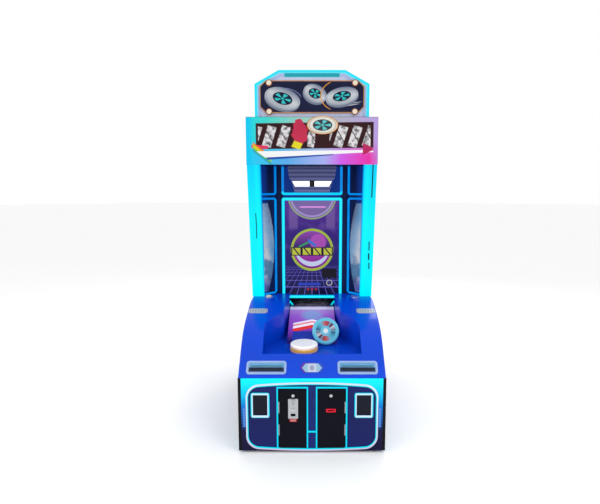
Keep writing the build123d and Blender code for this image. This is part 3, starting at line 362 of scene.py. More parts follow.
class Place:
    """Where a CAD node is: its lowest and highest corner, its middle and its half size."""

    def __init__(self, node):
        self.low, self.high = (np.array(corner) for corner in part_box(node))
        self.mid = (self.low + self.high) / 2
        self.half = (self.high - self.low) / 2


FRONT = Place("front_panel")
OUTLINE = Place("outline_light")
HEADER = Place("header_face")
TOPPER = Place("topper_box")
PANEL = Place("topper_panel")
GRILLE = Place("speaker_grilles")
EMBLEM = Place("emblem_plate")
RAMP = Place("lane_ramp")
COLUMN = Place("column_covers")
SURROUND = Place("screen_surround")
DISC = Place("disc_flat")
LEAN = Place("disc_leaning")
CONSOLE = Place("console_shell")
FACE_Y = FRONT.low[1]

EMBLEM_CENTRE = (0.069, float(HEADER.low[1]) + 0.001, 1.975)
LABEL_CENTRE = (-0.111, float(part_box("coin_door")[0][1]) + 0.0004, 0.2085)
PLATE_X = 0.362
PLATE_DEPTH = 0.460
TEETH_X = 0.4
TEETH_RISE = (0.162, 0.284)
WINDOW_CENTRE = (0.305, 0.299)
WINDOW_HALF = (0.042, 0.063)
SCREEN_BASE, SCREEN_TALL = 0.77, 0.708
TOPPER_CORNER = (0.158, 0.087, 0.1804)
TOPPER_SLOT_DROP = 0.032
LEAN_TILT = (0.342, 0.94)

MARK_TEAL = (0.03, 0.5, 0.52)


# ---- Finishes ------------------------------------------------------------------------

def outline_depth(look):
    """Distance outside the base's bowed, rounded light outline; negative inside it."""
    x = abs(look.x)
    bow = (look.x / OUTLINE.half[0]) ** 2.0
    top = OUTLINE.high[2] - bow * 0.020
    low = OUTLINE.low[2] + bow * 0.016
    middle = (top + low) * 0.5
    tall = (top - low) * 0.5
    corner = 0.08
    dx = (x - (OUTLINE.half[0] - corner)).larger(0.0)
    dz = (abs(look.z - middle) - (tall - corner)).larger(0.0)
    return (dx * dx + dz * dz) ** 0.5 - corner


def front_panel_finish():
    """Lit cyan top edge fading to dark outside the outline, deep navy inside it."""
    look = Look("printed_front", Emission_Strength=1.0, Coat_Roughness=0.08)
    away = outline_depth(look)
    inside = away.step(0.002, -0.002)
    fade = look.z / FRONT.high[2]
    outer = look.ramp(fade, (0.0, (0.004, 0.002, 0.03)), (0.3, (0.004, 0.004, 0.05)),
                      (0.62, (0.0, 0.16, 0.6)), (0.85, (0.0, 0.62, 0.9)), (1.0, (0.0, 0.9, 1.0)))
    navy = look.ramp(fade, (0.0, (0.012, 0.016, 0.19)), (0.5, (0.006, 0.012, 0.12)),
                     (1.0, (0.01, 0.02, 0.2)))
    middle = look.x.band(-0.024, 0.024) * look.z.band(0.0, 0.41)
    navy = look.mix(navy, (0.01, 0.05, 0.36), middle * look.noise(9.0, 3.0))
    seam = (look.z - 0.118).wrap(0.4).band(-0.0006, 0.0006) * inside
    colour = look.mix(outer, navy, inside)
    colour = look.mix(colour, (0.002, 0.002, 0.01), seam * 0.6)
    vent = look.z.band(0.4405, 0.4475) * look.x.band(-0.075, 0.085)
    colour = look.mix(colour, (0.01, 0.05, 0.06), vent * look.x.wrap(0.012).band(-0.004, 0.004))
    speck = look.noise(420.0, 2.0)
    glow = look.mix(BLACK, look.mix(outer, (0.004, 0.008, 0.07), inside), 0.75)
    edge = look.z.band(0.449, 0.470, 0.003)
    glow = look.mix(glow, (0.0, 0.9, 1.0), edge)
    look.feed(
        Base_Color=look.mix((0.0, 0.085, 0.095), look.mix(BLACK, colour, 0.35), 1.0 - edge),
        Emission_Color=glow, Roughness=speck * 0.1 + 0.2, Coat_Weight=speck * 0.1 + 0.05)
    return look.bump(speck, 0.0001, 0.2)


def outline_finish():
    """White tube outside, cyan inside, with a warmer tint low down."""
    look = Look("outline_tube", Emission_Strength=0.85)
    across = outline_depth(look) / -0.013
    white = look.ramp(
        look.z / 0.45, (0.0, (0.62, 0.5, 0.72)), (0.3, (0.72, 0.78, 0.95)),
        (1.0, (0.8, 0.82, 0.9)))
    colour = look.mix(white, tone("glow"), across.step(0.45, 0.75))
    cloud = look.noise(60.0, 3.0)
    return look.glow(
        look.mix(colour, (0.35, 0.45, 0.7), cloud.step(0.6, 0.9) * 0.4),
        Roughness=cloud * 0.2 + 0.15)


def panel_light_finish():
    """Cyan bars; the window frames are white towards the middle of their width."""
    look = Look("edge_lit_bars", Emission_Strength=0.9)
    inside = abs(abs(look.x) - WINDOW_CENTRE[0]) / WINDOW_HALF[0]
    tall = abs(look.z - WINDOW_CENTRE[1]) / WINDOW_HALF[1]
    ring = inside.larger(tall)
    white = ring.band(0.98, 1.16, 0.06) * look.panel(
        abs(look.x), look.z, WINDOW_CENTRE, (0.125, 0.165))
    cloud = look.noise(80.0, 3.0)
    colour = look.mix(tone("glow"), (0.85, 0.95, 1.0), white * 0.9)
    return look.glow(
        look.mix(colour, tone("glow_deep"), cloud * 0.25), Roughness=cloud * 0.15 + 0.2)


def door_finish():
    """Satin black powder coat with a fine grain."""
    return surface(
        "black_powder_coat", (0.005, 0.005, 0.01), 0.42, 0.12, 900.0, 0.00012,
        Specular_IOR_Level=0.05)


def steel_finish(name, colour=(0.5, 0.52, 0.55), rough=0.3, stretch=(1.0, 1.0, 60.0)):
    """Brushed steel: fine lines along one axis in the bump and the polish."""
    look = Look(name, Metallic=1.0)
    lines = look.noise(90.0, 4.0, stretch)
    cloud = look.noise(14.0, 3.0)
    look.feed(
        Base_Color=look.mix(darker(colour, 0.7), colour, lines),
        Roughness=lines * 0.25 + cloud * 0.1 + rough - 0.15)
    return look.bump(lines, 0.00008, 0.35)


def console_finish():
    """Gloss blue moulding: thin clear coat, faint ripple, darker low down, scuffed floor."""
    look = Look("gloss_blue_shell", Coat_Roughness=0.08, Specular_IOR_Level=0.1)
    cloud = look.noise(3.0, 3.0)
    ripple = look.noise(24.0, 2.0)
    blue = tone("shell")
    # Painted shade and light by height: darkest a third of the way up, lighter at the top.
    lift = look.ramp((look.z - CONSOLE.low[2]) / (CONSOLE.high[2] - CONSOLE.low[2]),
                     (0.0, blue), (0.3, darker(blue, 0.86)), (1.0, darker(blue, 1.08)))
    scuff = look.noise(55.0, 8.0).step(0.68, 0.8) * look.z.step(0.575, 0.556)
    look.feed(
        Base_Color=look.mix(
            look.mix(lift, darker(blue, 0.8), cloud * 0.5), (0.03, 0.14, 0.7), scuff),
        Roughness=ripple * 0.08 + 0.2 + scuff * 0.2, Coat_Weight=cloud * 0.1 + 0.2)
    return look.bump(ripple, 0.0006, 0.12)


def grille_finish():
    """Silver-lilac frame; pale blue upper pane and dark slotted lower half."""
    look = Look("speaker_panes", Emission_Strength=0.25, Coat_Weight=0.4)
    u = abs(abs(look.x) - (GRILLE.high[0] - 0.1185))
    v = look.z - GRILLE.mid[2]
    pane = u.band(-0.01, 0.1045, 0.0015) * v.band(-0.0185, 0.0215, 0.0012)
    upper = v.step(-0.001, 0.003)
    streak = look.noise(16.0, 3.0, (1.0, 6.0, 6.0))
    pale = look.mix((0.05, 0.27, 0.55), (0.22, 0.5, 0.75), streak)
    dark = look.mix((0.004, 0.008, 0.03), (0.02, 0.04, 0.09), streak)
    inside = look.mix(dark, pale, upper)
    frame_colour = look.mix((0.22, 0.36, 0.72), (0.42, 0.56, 0.86), look.noise(9.0, 3.0))
    colour = look.mix(frame_colour, inside, pane)
    return look.glow(colour, Roughness=streak * 0.15 + 0.18).grain(300.0)


def emblem_finish():
    """Six-sided badge: violet and blue border, pale middle with teal fans at each side."""
    look = Look("badge_print", Emission_Strength=0.35, Coat_Weight=0.8)
    u = abs(look.x) / EMBLEM.half[0]
    v = abs(look.z - EMBLEM.mid[2]) / EMBLEM.half[2]
    edge = (u + v * 0.38).larger(v)
    border = edge.step(0.8, 0.86)
    fan = (u * 9.0 + v * 2.0).wrap(1.0).band(-0.22, 0.22, 0.08) * u.step(0.3, 0.38)
    core = look.mix((0.55, 0.62, 0.8), (0.02, 0.42, 0.55), fan)
    core = look.mix(
        core, (0.3, 0.34, 0.5), look.spot(look.x, look.z - EMBLEM.mid[2], (0.0, 0.0), 0.012))
    rim = look.mix((0.12, 0.02, 0.42), (0.02, 0.08, 0.6), look.x.step(-0.04, 0.04))
    colour = look.mix(core, rim, border)
    return look.glow(colour, Roughness=look.noise(120.0) * 0.1 + 0.12)


def ramp_finish():
    """Printed lane: violet ground, pale strip at the top, chevrons, red and navy bands below."""
    look = Look("lane_print", Emission_Strength=0.3, Coat_Weight=0.1)
    run = (look.y - RAMP.low[1]) / 0.43
    side = abs(look.x)
    ground = look.ramp(run, (0.0, (0.02, 0.01, 0.12)), (0.3, (0.2, 0.04, 0.42)),
                       (0.7, (0.3, 0.1, 0.55)), (0.9, (0.4, 0.22, 0.6)), (1.0, (0.5, 0.42, 0.7)))
    slope = run + side * 0.9
    colour = look.mix(
        ground, (0.1, 0.45, 0.6), look.spot(look.x, look.y, (0.0, -0.06), 0.07, 0.03) * 0.5)
    inner = side.step(0.132, 0.126)
    colour = look.paint(
        colour,
        ((0.8, 0.72, 0.86), slope.band(0.545, 0.60, 0.006) * inner),
        ((0.75, 0.22, 0.2), slope.band(0.50, 0.545, 0.006) * inner),
        ((0.82, 0.74, 0.84), slope.band(0.43, 0.50, 0.006) * inner),
        ((0.7, 0.03, 0.03), slope.band(0.33, 0.43, 0.006) * inner),
        ((0.01, 0.03, 0.3), run.band(-0.1, 0.24, 0.006) * inner),
    )
    streak = look.noise(30.0, 5.0, (1.0, 4.0, 1.0))
    strip = run.band(0.93, 1.02, 0.01)
    colour = look.paint(
        colour,
        ((0.62, 0.6, 0.75), strip),
        ((0.05, 0.04, 0.12), streak.step(0.62, 0.74) * 0.5),
    )
    # Painted shade: past the top strip, where the lane runs in under the screen, it is dark and
    # gives out no light.
    inside = run.step(1.0, 1.12)
    glow = look.mix(colour, BLACK, inside)
    return look.feed(
        Base_Color=look.mix(colour, (0.03, 0.02, 0.08), inside), Emission_Color=glow,
        Roughness=streak * 0.2 + 0.15)


def column_finish():
    """Bright diffuser, deeper blue near the top, with thin dark slits on its front."""
    look = Look("column_diffuser", Emission_Strength=1.0)
    rise = (look.z - COLUMN.low[2]) / (COLUMN.high[2] - COLUMN.low[2])
    colour = look.ramp(
        rise, (0.0, (0.0, 0.86, 0.98)), (0.6, (0.0, 0.82, 0.95)), (1.0, (0.0, 0.56, 0.9)))
    inner = abs(look.x).step(0.3505, 0.3485)
    colour = look.mix(colour, (0.0, 0.22, 0.75), inner * 0.9)
    streak = abs(look.x).band(0.36, 0.385, 0.012)
    colour = look.mix(colour, (0.0, 1.0, 1.0), streak * 0.35)
    bend = (look.z - 1.3) * (look.z - 1.3) * 0.25
    slit = (look.x + bend).band(-0.389, -0.383) * look.z.band(1.217, 1.396, 0.006)
    slit = slit + look.x.band(0.403, 0.411) * look.z.band(1.503, 1.73, 0.006)
    curve = look.x - bend * 0.3
    for left, right, low, high in ((0.397, 0.405, 0.992, 1.04), (0.394, 0.404, 1.06, 1.11),
                                   (0.397, 0.405, 1.13, 1.194)):
        slit = slit + curve.band(left, right) * look.z.band(low, high, 0.004)
    cloud = look.noise(7.0, 3.0)
    colour = look.mix(
        look.mix(colour, darker(tone("glow"), 0.85), cloud * 0.4), (0.001, 0.01, 0.03),
        slit.smaller(1.0))
    return look.glow(colour, Roughness=cloud * 0.15 + 0.25)


def screen_finish():
    """Lit game picture: arcs, round badge with plain blocks, and a grid floor in perspective."""
    look = Look("screen_picture", Emission_Strength=0.95, Coat_Weight=0.05)
    x, z = look.x, look.z
    rise = (z - SCREEN_BASE) / SCREEN_TALL
    colour = look.ramp(
        rise, (0.0, (0.004, 0.003, 0.03)), (0.28, (0.012, 0.01, 0.12)), (0.45, (0.02, 0.01, 0.15)),
        (0.7, (0.035, 0.014, 0.2)), (1.0, (0.1, 0.03, 0.3)))
    cloud = look.noise(12.0, 5.0)
    colour = look.mix(colour, (0.1, 0.04, 0.28), cloud.step(0.5, 0.75) * rise.step(0.35, 0.6))
    pillar = abs(x).band(0.105, 0.17, 0.008) * z.band(1.27, 1.44, 0.02)
    colour = look.mix(colour, (0.22, 0.13, 0.4), pillar * 0.5)
    planet = (0.0, 1.52)
    colour = look.paint(
        colour,
        ((0.26, 0.2, 0.42), look.spot(x, z, planet, 0.175, 0.004) * 0.6),
        ((0.75, 0.3, 0.8), z.band(1.425, 1.436, 0.003) * x.band(-0.09, 0.1, 0.01)),
        ((0.3, 0.42, 0.16), look.ring(x, z, planet, 0.176, 0.009, 0.003)),
        ((0.5, 0.4, 0.75), look.ring(x, z, planet, 0.158, 0.012, 0.004) * 0.6),
    )
    drop = (1.13 - z).larger(0.02)
    spoke = (x / drop).wrap(0.16).band(-0.006, 0.006, 0.004)
    rung = (0.03 / drop).wrap(0.02).band(-0.0009, 0.0009, 0.0006)
    floor = z.step(1.0, 0.98)
    colour = look.mix(colour, (0.16, 0.14, 0.7), spoke.larger(rung) * floor * 0.9)
    hub = (0.0, 1.112)
    disc = look.spot(x, z, hub, 0.158, 0.002)
    inside = look.ramp((z - 0.96) / 0.3, (0.0, (0.16, 0.01, 0.22)), (0.35, (0.3, 0.03, 0.36)),
                       (0.6, (0.04, 0.02, 0.16)), (1.0, (0.28, 0.06, 0.42)))
    inside = look.paint(
        inside,
        ((0.45, 0.08, 0.5), look.spot(x, z, (0.045, 1.17), 0.06, 0.006) * 0.8),
        ((0.03, 0.32, 0.12), (z - x * 0.5).band(1.175, 1.19, 0.004) * x.band(-0.1, -0.02)),
        ((0.05, 0.16, 0.6), (z + x * 0.7).band(1.15, 1.175, 0.004) * x.band(-0.03, 0.03)),
    )
    crescent = look.spot(x, z, hub, 0.125, 0.002) * (
        1.0 - look.spot(x, z, (0.0, 1.15), 0.128, 0.002))
    inside = look.mix(inside, (0.55, 0.6, 0.85), crescent)
    colour = look.mix(colour, inside, disc)
    rim = look.mix((0.22, 0.4, 0.03), (0.5, 0.55, 0.05), look.noise(20.0, 3.0))
    colour = look.mix(colour, rim, look.ring(x, z, hub, 0.15, 0.018, 0.002))
    row = z.band(1.068, 1.132, 0.003) * abs(x).band(-0.1, 0.156, 0.003)
    colour = look.mix(colour, (0.006, 0.006, 0.03), row)
    slot = (x + 0.039).wrap(0.078)
    block = slot.band(-0.030, 0.030, 0.002) * z.band(1.074, 1.126, 0.002)
    block = block * abs(x).band(-0.1, 0.152, 0.002)
    notch = (slot + (z - 1.1) * 0.8).band(-0.006, 0.006, 0.001)
    dashes = look.panel(x.wrap(0.03), z, (0.0, 0.812), (0.018, 0.014)) * abs(x).band(-0.1, 0.05)
    colour = look.paint(
        colour,
        ((0.5, 0.52, 0.05), block * (1.0 - notch)),
        ((0.02, 0.05, 0.5), look.panel(x, z, (-0.02, 0.852), (0.17, 0.02), 0.002)),
        ((0.35, 0.02, 0.05), dashes),
        ((0.003, 0.003, 0.012), look.panel(x, z, (0.13, 0.935), (0.11, 0.07), 0.002)),
        ((0.4, 0.4, 0.5), look.ring(x, z, (0.13, 0.862), 0.02, 0.007, 0.001)),
    )
    glass = abs(x).step(0.1985, 0.1975) * z.band(
        SCREEN_BASE + 0.0005, SCREEN_BASE + SCREEN_TALL - 0.0005)
    glass = glass * look.y.step(SURROUND.low[1] + 0.013, SURROUND.low[1] + 0.011)
    return look.feed(
        Emission_Color=look.mix(BLACK, colour, glass),
        Base_Color=look.mix((0.012, 0.012, 0.014), (0.002, 0.002, 0.004), glass),
        Roughness=cloud * 0.06 + 0.08)


def header_finish():
    """Translucent print: cyan to violet round a dark inset with slanted bars and a white wedge."""
    look = Look("header_print", Emission_Strength=0.8, Coat_Weight=0.1)
    x, z = look.x, look.z
    u = x / HEADER.half[0]
    v = (z - HEADER.low[2]) / (2 * HEADER.half[2])
    cloud = look.noise(5.0, 3.0)
    high = look.ramp(
        u * 0.5 + 0.5 + cloud * 0.12 - 0.06, (0.0, (0.0, 0.72, 0.8)), (0.16, (0.06, 0.7, 0.62)),
        (0.45, (0.34, 0.62, 0.55)), (0.7, (0.45, 0.46, 0.55)), (1.0, (0.5, 0.36, 0.78)))
    low = look.ramp(
        u * 0.5 + 0.5 + cloud * 0.1 - 0.05, (0.0, (0.0, 0.66, 0.95)), (0.3, (0.1, 0.42, 0.85)),
        (0.58, (0.4, 0.45, 0.9)), (0.72, (0.66, 0.12, 0.85)), (0.92, (0.85, 0.03, 0.4)),
        (1.0, (0.55, 0.2, 0.7)))
    colour = look.mix(low, high, v.step(0.15, 0.6))
    colour = look.mix(colour, (0.0, 0.6, 0.95), u.step(-0.86, -0.99))
    inset = u.band(-0.85, 0.93, 0.008) * (z - x * 0.012).band(1.826, 1.992, 0.002)
    dark = look.mix((0.014, 0.002, 0.004), (0.05, 0.008, 0.012), look.noise(16.0, 6.0))
    colour = look.mix(colour, dark, inset)
    slant = x - (z - 1.9) * 0.32
    cell = slant.wrap(0.094)
    bar = cell.band(-0.031, 0.031, 0.002)
    bar = bar * (z + cell * 0.25).band(1.838, 1.968, 0.003)
    gap = (cell + (z - 1.905) * 0.9).band(-0.003, 0.003, 0.001)
    reach = x.band(-0.355, 0.385) * (1.0 - x.band(-0.142, -0.03)) * (1.0 - x.band(0.02, 0.115))
    chalk = look.mix((0.12, 0.11, 0.12), (0.8, 0.78, 0.8), look.noise(45.0, 5.0).step(0.3, 0.6))
    colour = look.mix(colour, chalk, bar * (1.0 - gap) * reach)
    splash = look.far(x, z, (-0.082, 1.93), 0.75) + look.noise(26.0, 5.0) * 0.07
    colour = look.mix(
        colour, look.mix((0.4, 0.01, 0.05), (0.75, 0.05, 0.12), cloud), splash.step(0.092, 0.084))
    flag = (z + x * 0.35).band(1.79, 1.835, 0.003) * (x - z * 0.5).band(-1.055, -0.99, 0.003)
    colour = look.paint(
        colour,
        ((0.8, 0.7, 0.02), flag),
        ((0.75, 0.04, 0.12), look.panel(x, z + x * 0.06, (-0.345, 1.815), (0.11, 0.022), 0.003)),
    )
    stripe = (z + x * 0.75).band(1.515, 1.575, 0.002) * x.band(-0.39, -0.27, 0.004)
    rainbow = look.ramp(
        (z + x * 0.75 - 1.515) / 0.06, (0.0, (0.02, 0.3, 0.6)), (0.35, (0.1, 0.6, 0.1)),
        (0.6, (0.8, 0.7, 0.0)), (1.0, (0.8, 0.05, 0.05)))
    colour = look.mix(colour, rainbow, stripe)
    top_edge = 1.812 + x * 0.012
    low_edge = 1.768 + (x + 0.3) * 0.05
    wedge = (z - low_edge).step(-0.001, 0.001) * (z - top_edge).step(0.001, -0.001)
    wedge = wedge * (x + (z - 1.81) * 1.4).band(-0.37, 0.40, 0.002)
    shade = (z - low_edge + 0.016 - (x + 0.3) * 0.02).step(-0.001, 0.001)
    shade = shade * (z - low_edge).step(0.001, -0.001)
    colour = look.paint(
        colour,
        ((0.02, 0.08, 0.4), shade * x.band(-0.3, 0.14, 0.01)),
        ((0.95, 0.95, 0.98), wedge),
    )
    arrow = x.band(0.335, 0.40, 0.002) * (abs(z - 1.823) + x * 0.5).band(-1.0, 0.208, 0.002)
    colour = look.mix(colour, (0.5, 0.02, 0.12), arrow)
    front = look.y.step(HEADER.low[1] + 0.003, HEADER.low[1] + 0.001)
    return look.glow(look.mix((0.12, 0.18, 0.3), colour, front), Roughness=cloud * 0.12 + 0.18)


def header_wrap_finish():
    """Printed wrap of the header box and its underside: cyan at the left, violet at the right."""
    look = Look("header_wrap", Emission_Strength=0.35)
    u = look.x / HEADER.half[0]
    cloud = look.noise(6.0, 4.0)
    colour = look.ramp(
        u * 0.5 + 0.5 + cloud * 0.1 - 0.05, (0.0, (0.0, 0.5, 0.75)), (0.4, (0.08, 0.2, 0.6)),
        (1.0, (0.4, 0.12, 0.6)))
    sweep = (look.z + look.y * 0.6).wrap(0.11)
    colour = look.mix(colour, (0.03, 0.02, 0.2), sweep.band(-0.03, 0.012, 0.002) * 0.7)
    # Painted shade: the underside of the header box is painted near black.
    under = look.z.step(HEADER.low[2] + 0.003, HEADER.low[2] + 0.001)
    colour = look.mix(colour, (0.002, 0.008, 0.05), under)
    return look.glow(colour, Roughness=cloud * 0.2 + 0.3).grain(400.0)


def topper_edge(look):
    """Distance inside the topper's six-sided outline."""
    side = TOPPER.high[0] - abs(look.x)
    top = TOPPER.high[2] - look.z
    wide, tall, length = TOPPER_CORNER
    slope = (side * tall + (TOPPER.high[2] - tall - look.z) * wide) / length
    return side.smaller(top).smaller(slope)


def topper_finish():
    """Edge-lit case: bright cyan rim and sides, lilac-grey face, teal slot near the top."""
    look = Look("edge_lit_case", Emission_Strength=0.85, Coat_Weight=0.3)
    depth = topper_edge(look)
    cloud = look.noise(7.0, 4.0)
    front = look.y.step(TOPPER.low[1] + 0.0015, TOPPER.low[1] + 0.0005)
    rim = depth.step(0.030, 0.008)
    face = look.mix((0.3, 0.33, 0.46), (0.44, 0.47, 0.6), cloud)
    face = look.mix(face, (0.14, 0.2, 0.42), depth.step(0.055, 0.035) * (1.0 - rim) * 0.5)
    slot = look.panel(look.x, look.z, (0.0, TOPPER.high[2] - TOPPER_SLOT_DROP), (0.354, 0.018))
    face = look.mix(face, (0.01, 0.3, 0.36), slot)
    colour = look.mix(tone("glow"), look.mix(face, tone("glow"), rim), front)
    behind = look.y.step(TOPPER.high[1] - 0.020, TOPPER.high[1] - 0.018) * depth.step(0.004, 0.008)
    streak = look.noise(18.0, 4.0, (1.0, 8.0, 1.0))
    colour = look.paint(
        colour,
        ((0.0, 0.36, 0.62), streak.step(0.45, 0.7) * (1.0 - front) * 0.6),
        ((0.012, 0.016, 0.03), behind),
    )
    slot_wall = look.panel(
        look.x, look.z, (0.0, TOPPER.high[2] - TOPPER_SLOT_DROP), (0.362, 0.026))
    colour = look.mix(colour, (0.01, 0.3, 0.36), slot_wall)
    lit = rim.larger(1.0 - front).larger(slot) * (1.0 - behind)
    share = lit.larger(behind) * 0.75 + 0.25
    return look.feed(
        Base_Color=look.mix(colour, darker(tone("glow"), 0.1), lit),
        Emission_Color=look.mix(BLACK, colour, share), Roughness=cloud * 0.15 + 0.25)


def add_puck(look, colour, centre, size, turn):
    """A tilted puck drawn in shades: side wall below, pale top, dark oval with a spoked wheel."""
    c, s = math.cos(math.radians(turn)), math.sin(math.radians(turn))
    dx, dz = look.x - centre[0], look.z - centre[1]
    u = dx * c + dz * s
    v = dz * c - dx * s
    flat = size[0] / size[1]
    wall = look.spot(u, v, (0.0, -0.014), size[0], 0.002, flat)
    top = look.spot(u, v, (0.0, 0.0), size[0], 0.002, flat)
    light = look.ramp(v / size[1] * 0.5 + 0.5 + u / size[0] * 0.15, (0.0, (0.34, 0.37, 0.42)),
                      (0.55, (0.55, 0.58, 0.62)), (1.0, (0.16, 0.19, 0.28)))
    colour = look.paint(
        colour,
        ((0.16, 0.19, 0.27), wall),
        (light, top),
        (
            (0.12, 0.16, 0.26),
            look.ring(u, v, (0.0, 0.0), size[0] * 0.93, 0.004, 0.002, flat) * 0.7),
        ((0.004, 0.008, 0.03), look.spot(u, v, (0.0, 0.0), size[0] * 0.56, 0.002, flat)),
    )
    motif = look.spokes(u, v * flat, size[0] * 0.46)
    return look.mix(colour, MARK_TEAL, motif)


def topper_panel_finish():
    """Navy print with a thin orange edge, three tilted pucks and pale speed lines."""
    look = Look("topper_print", Emission_Strength=0.3, Coat_Weight=0.1)
    cloud = look.noise(9.0, 4.0)
    colour = look.mix((0.002, 0.003, 0.014), (0.008, 0.012, 0.06), cloud)
    for low, high, x0, x1 in ((2.099, 2.104, 0.2, 0.3), (2.11, 2.114, 0.235, 0.315)):
        swish = (look.z - look.x * 0.16 + 0.036).band(low, high) * look.x.band(x0, x1, 0.02)
        colour = look.mix(colour, (0.5, 0.52, 0.6), swish)
    arc = look.ring(look.x, look.z, (-0.19, 2.13), 0.125, 0.006, 0.002, 1.5) * look.z.band(
        2.16, 2.25, 0.01)
    colour = look.mix(colour, (0.2, 0.24, 0.45), arc * 0.8)
    colour = add_puck(look, colour, (0.02, 2.18), (0.078, 0.056), -22.0)
    colour = look.mix(
        colour, (0.7, 0.3, 0.03),
        look.ring(look.x, look.z, (0.185, 2.165), 0.128, 0.006, 0.002, 1.3) * look.x.band(
            0.05, 0.12, 0.01))
    colour = add_puck(look, colour, (0.195, 2.163), (0.108, 0.056), 12.0)
    colour = add_puck(look, colour, (-0.193, 2.148), (0.118, 0.068), -16.0)
    u, v = PANEL.half[0] - abs(look.x), PANEL.half[2] - abs(look.z - PANEL.mid[2])
    depth = u.smaller(v).smaller((u + v - 0.038) * 0.7071)
    edge = look.mix((0.35, 0.13, 0.05), (0.62, 0.3, 0.12), look.noise(20.0))
    colour = look.mix(colour, edge, depth.step(0.0065, 0.0045))
    return look.glow(colour, Roughness=cloud * 0.12 + 0.15)


def stud_finish():
    """Polished cream caps with a brown ring."""
    look = Look("stud_caps", Emission_Strength=0.2, Coat_Weight=0.5)
    u = abs(look.x) - (PANEL.high[0] - 0.061)
    v = abs(look.z - (PANEL.high[2] - 0.107)) - 0.091
    away = look.far(u, v, (0.0, 0.0))
    cap = look.mix((0.75, 0.6, 0.42), (0.85, 0.78, 0.66), look.noise(90.0))
    colour = look.mix(cap, (0.22, 0.07, 0.03), away.step(0.0145, 0.0165))
    return look.glow(colour, Roughness=look.noise(60.0) * 0.15 + 0.2)


def side_finish():
    """Laminate of the side boards: navy with rising glow bands and faint rings."""
    look = Look("side_laminate", Emission_Strength=0.12, Coat_Weight=0.25)
    rise = look.z / HEADER.high[2]
    cloud = look.noise(4.0, 4.0)
    colour = look.ramp(
        rise + cloud * 0.08, (0.0, (0.004, 0.006, 0.05)), (0.25, (0.006, 0.03, 0.22)),
        (0.6, (0.008, 0.014, 0.12)), (1.0, (0.05, 0.012, 0.16)))
    sweep = look.z - look.y * 0.8
    for at, wide, paint in ((0.55, 0.05, (0.0, 0.35, 0.6)), (0.68, 0.012, (0.0, 0.6, 0.75)),
                            (1.25, 0.03, (0.22, 0.05, 0.45)), (1.33, 0.008, (0.5, 0.08, 0.5))):
        colour = look.mix(colour, paint, sweep.band(at - wide, at + wide, 0.003))
    for centre, radius in (((0.38, 1.55), 0.17), ((0.38, 1.55), 0.11), ((0.1, 0.95), 0.08)):
        colour = look.mix(
            colour, (0.02, 0.4, 0.55), look.ring(look.y, look.z, centre, radius, 0.012))
    edge = look.y.band(-0.72, -0.70)
    colour = look.mix(colour, (0.003, 0.003, 0.008), edge)
    return look.glow(colour, Roughness=cloud * 0.15 + 0.28).grain(600.0, 0.25)


def tower_light_finish():
    """Light frames: bright cyan round the screen, bluer on the wings and in the bays."""
    look = Look("tower_frames", Emission_Strength=1.0)
    wing = abs(look.x).step(0.245, 0.26)
    high = look.z.step(1.503, 1.512)
    screen = (1.0 - wing) * (1.0 - high)
    edge = (abs(look.x) - 0.211).larger(abs(look.z - 1.124) - 0.366)
    core = abs(edge).step(0.010, 0.004)
    bright = look.mix((0.0, 0.5, 0.85), (0.02, 0.86, 1.0), core)
    blue = look.mix((0.0, 0.1, 0.55), (0.0, 0.38, 0.95), look.noise(5.0, 3.0))
    low_bay = look.z.band(1.503, 1.545, 0.004)
    blue = look.mix(blue, (0.0, 0.6, 0.95), low_bay * (1.0 - wing))
    colour = look.mix(blue, bright, screen)
    return look.glow(colour, Roughness=look.noise(40.0) * 0.1 + 0.2)


def dark_board_finish():
    """Near-black laminate of the tower, with a soft blue glow beside each light frame."""
    look = Look("tower_boards", Emission_Strength=0.5)
    near = abs(abs(look.x) - 0.24).step(0.02, 0.045) * abs(abs(look.x) - 0.30).step(0.005, 0.05)
    cloud = look.noise(8.0, 4.0)
    look.feed(
        Base_Color=look.mix((0.003, 0.006, 0.03), (0.004, 0.012, 0.07), cloud),
        Emission_Color=look.mix((0.0, 0.001, 0.012), (0.0, 0.05, 0.42), near * 0.8),
        Roughness=cloud * 0.2 + 0.3)
    return look.grain(500.0)


def mirror_finish():
    """Silvered pane with a faint haze and bluer patches low down."""
    # The faint grey emission of the mirror is painted light.
    look = Look(
        "mirror_pane", Metallic=0.9, Emission_Strength=0.06, Emission_Color=(0.6, 0.62, 0.66, 1.0))
    cloud = look.noise(7.0, 5.0)
    # Painted reflection: bluer patches low down on the silver.
    painted_reflection = look.noise(9.0, 6.0).step(0.45, 0.62) * look.z.step(1.25, 1.0)
    silver = look.mix((0.42, 0.44, 0.48), (0.66, 0.67, 0.7), cloud)
    return look.feed(
        Base_Color=look.mix(silver, (0.05, 0.16, 0.3), painted_reflection), Roughness=cloud * 0.18 + 0.06)


def pod_finish():
    """Satin grey-violet hood, lighter on its steps."""
    look = Look("lamp_hood", Coat_Weight=0.3, Emission_Strength=0.3)
    step = (look.z - HEADER.low[2] + 0.032).wrap(0.028).band(-0.007, 0.007, 0.002)
    cloud = look.noise(12.0, 4.0)
    colour = look.mix((0.05, 0.06, 0.22), (0.16, 0.18, 0.38), step)
    dark = abs(look.x).band(-0.1, 0.0178) * look.z.band(1.578, 1.622)
    colour = look.mix(look.mix(colour, (0.09, 0.1, 0.3), cloud * 0.5), (0.001, 0.001, 0.004), dark)
    return look.glow(colour, Roughness=cloud * 0.15 + 0.3).grain(300.0)


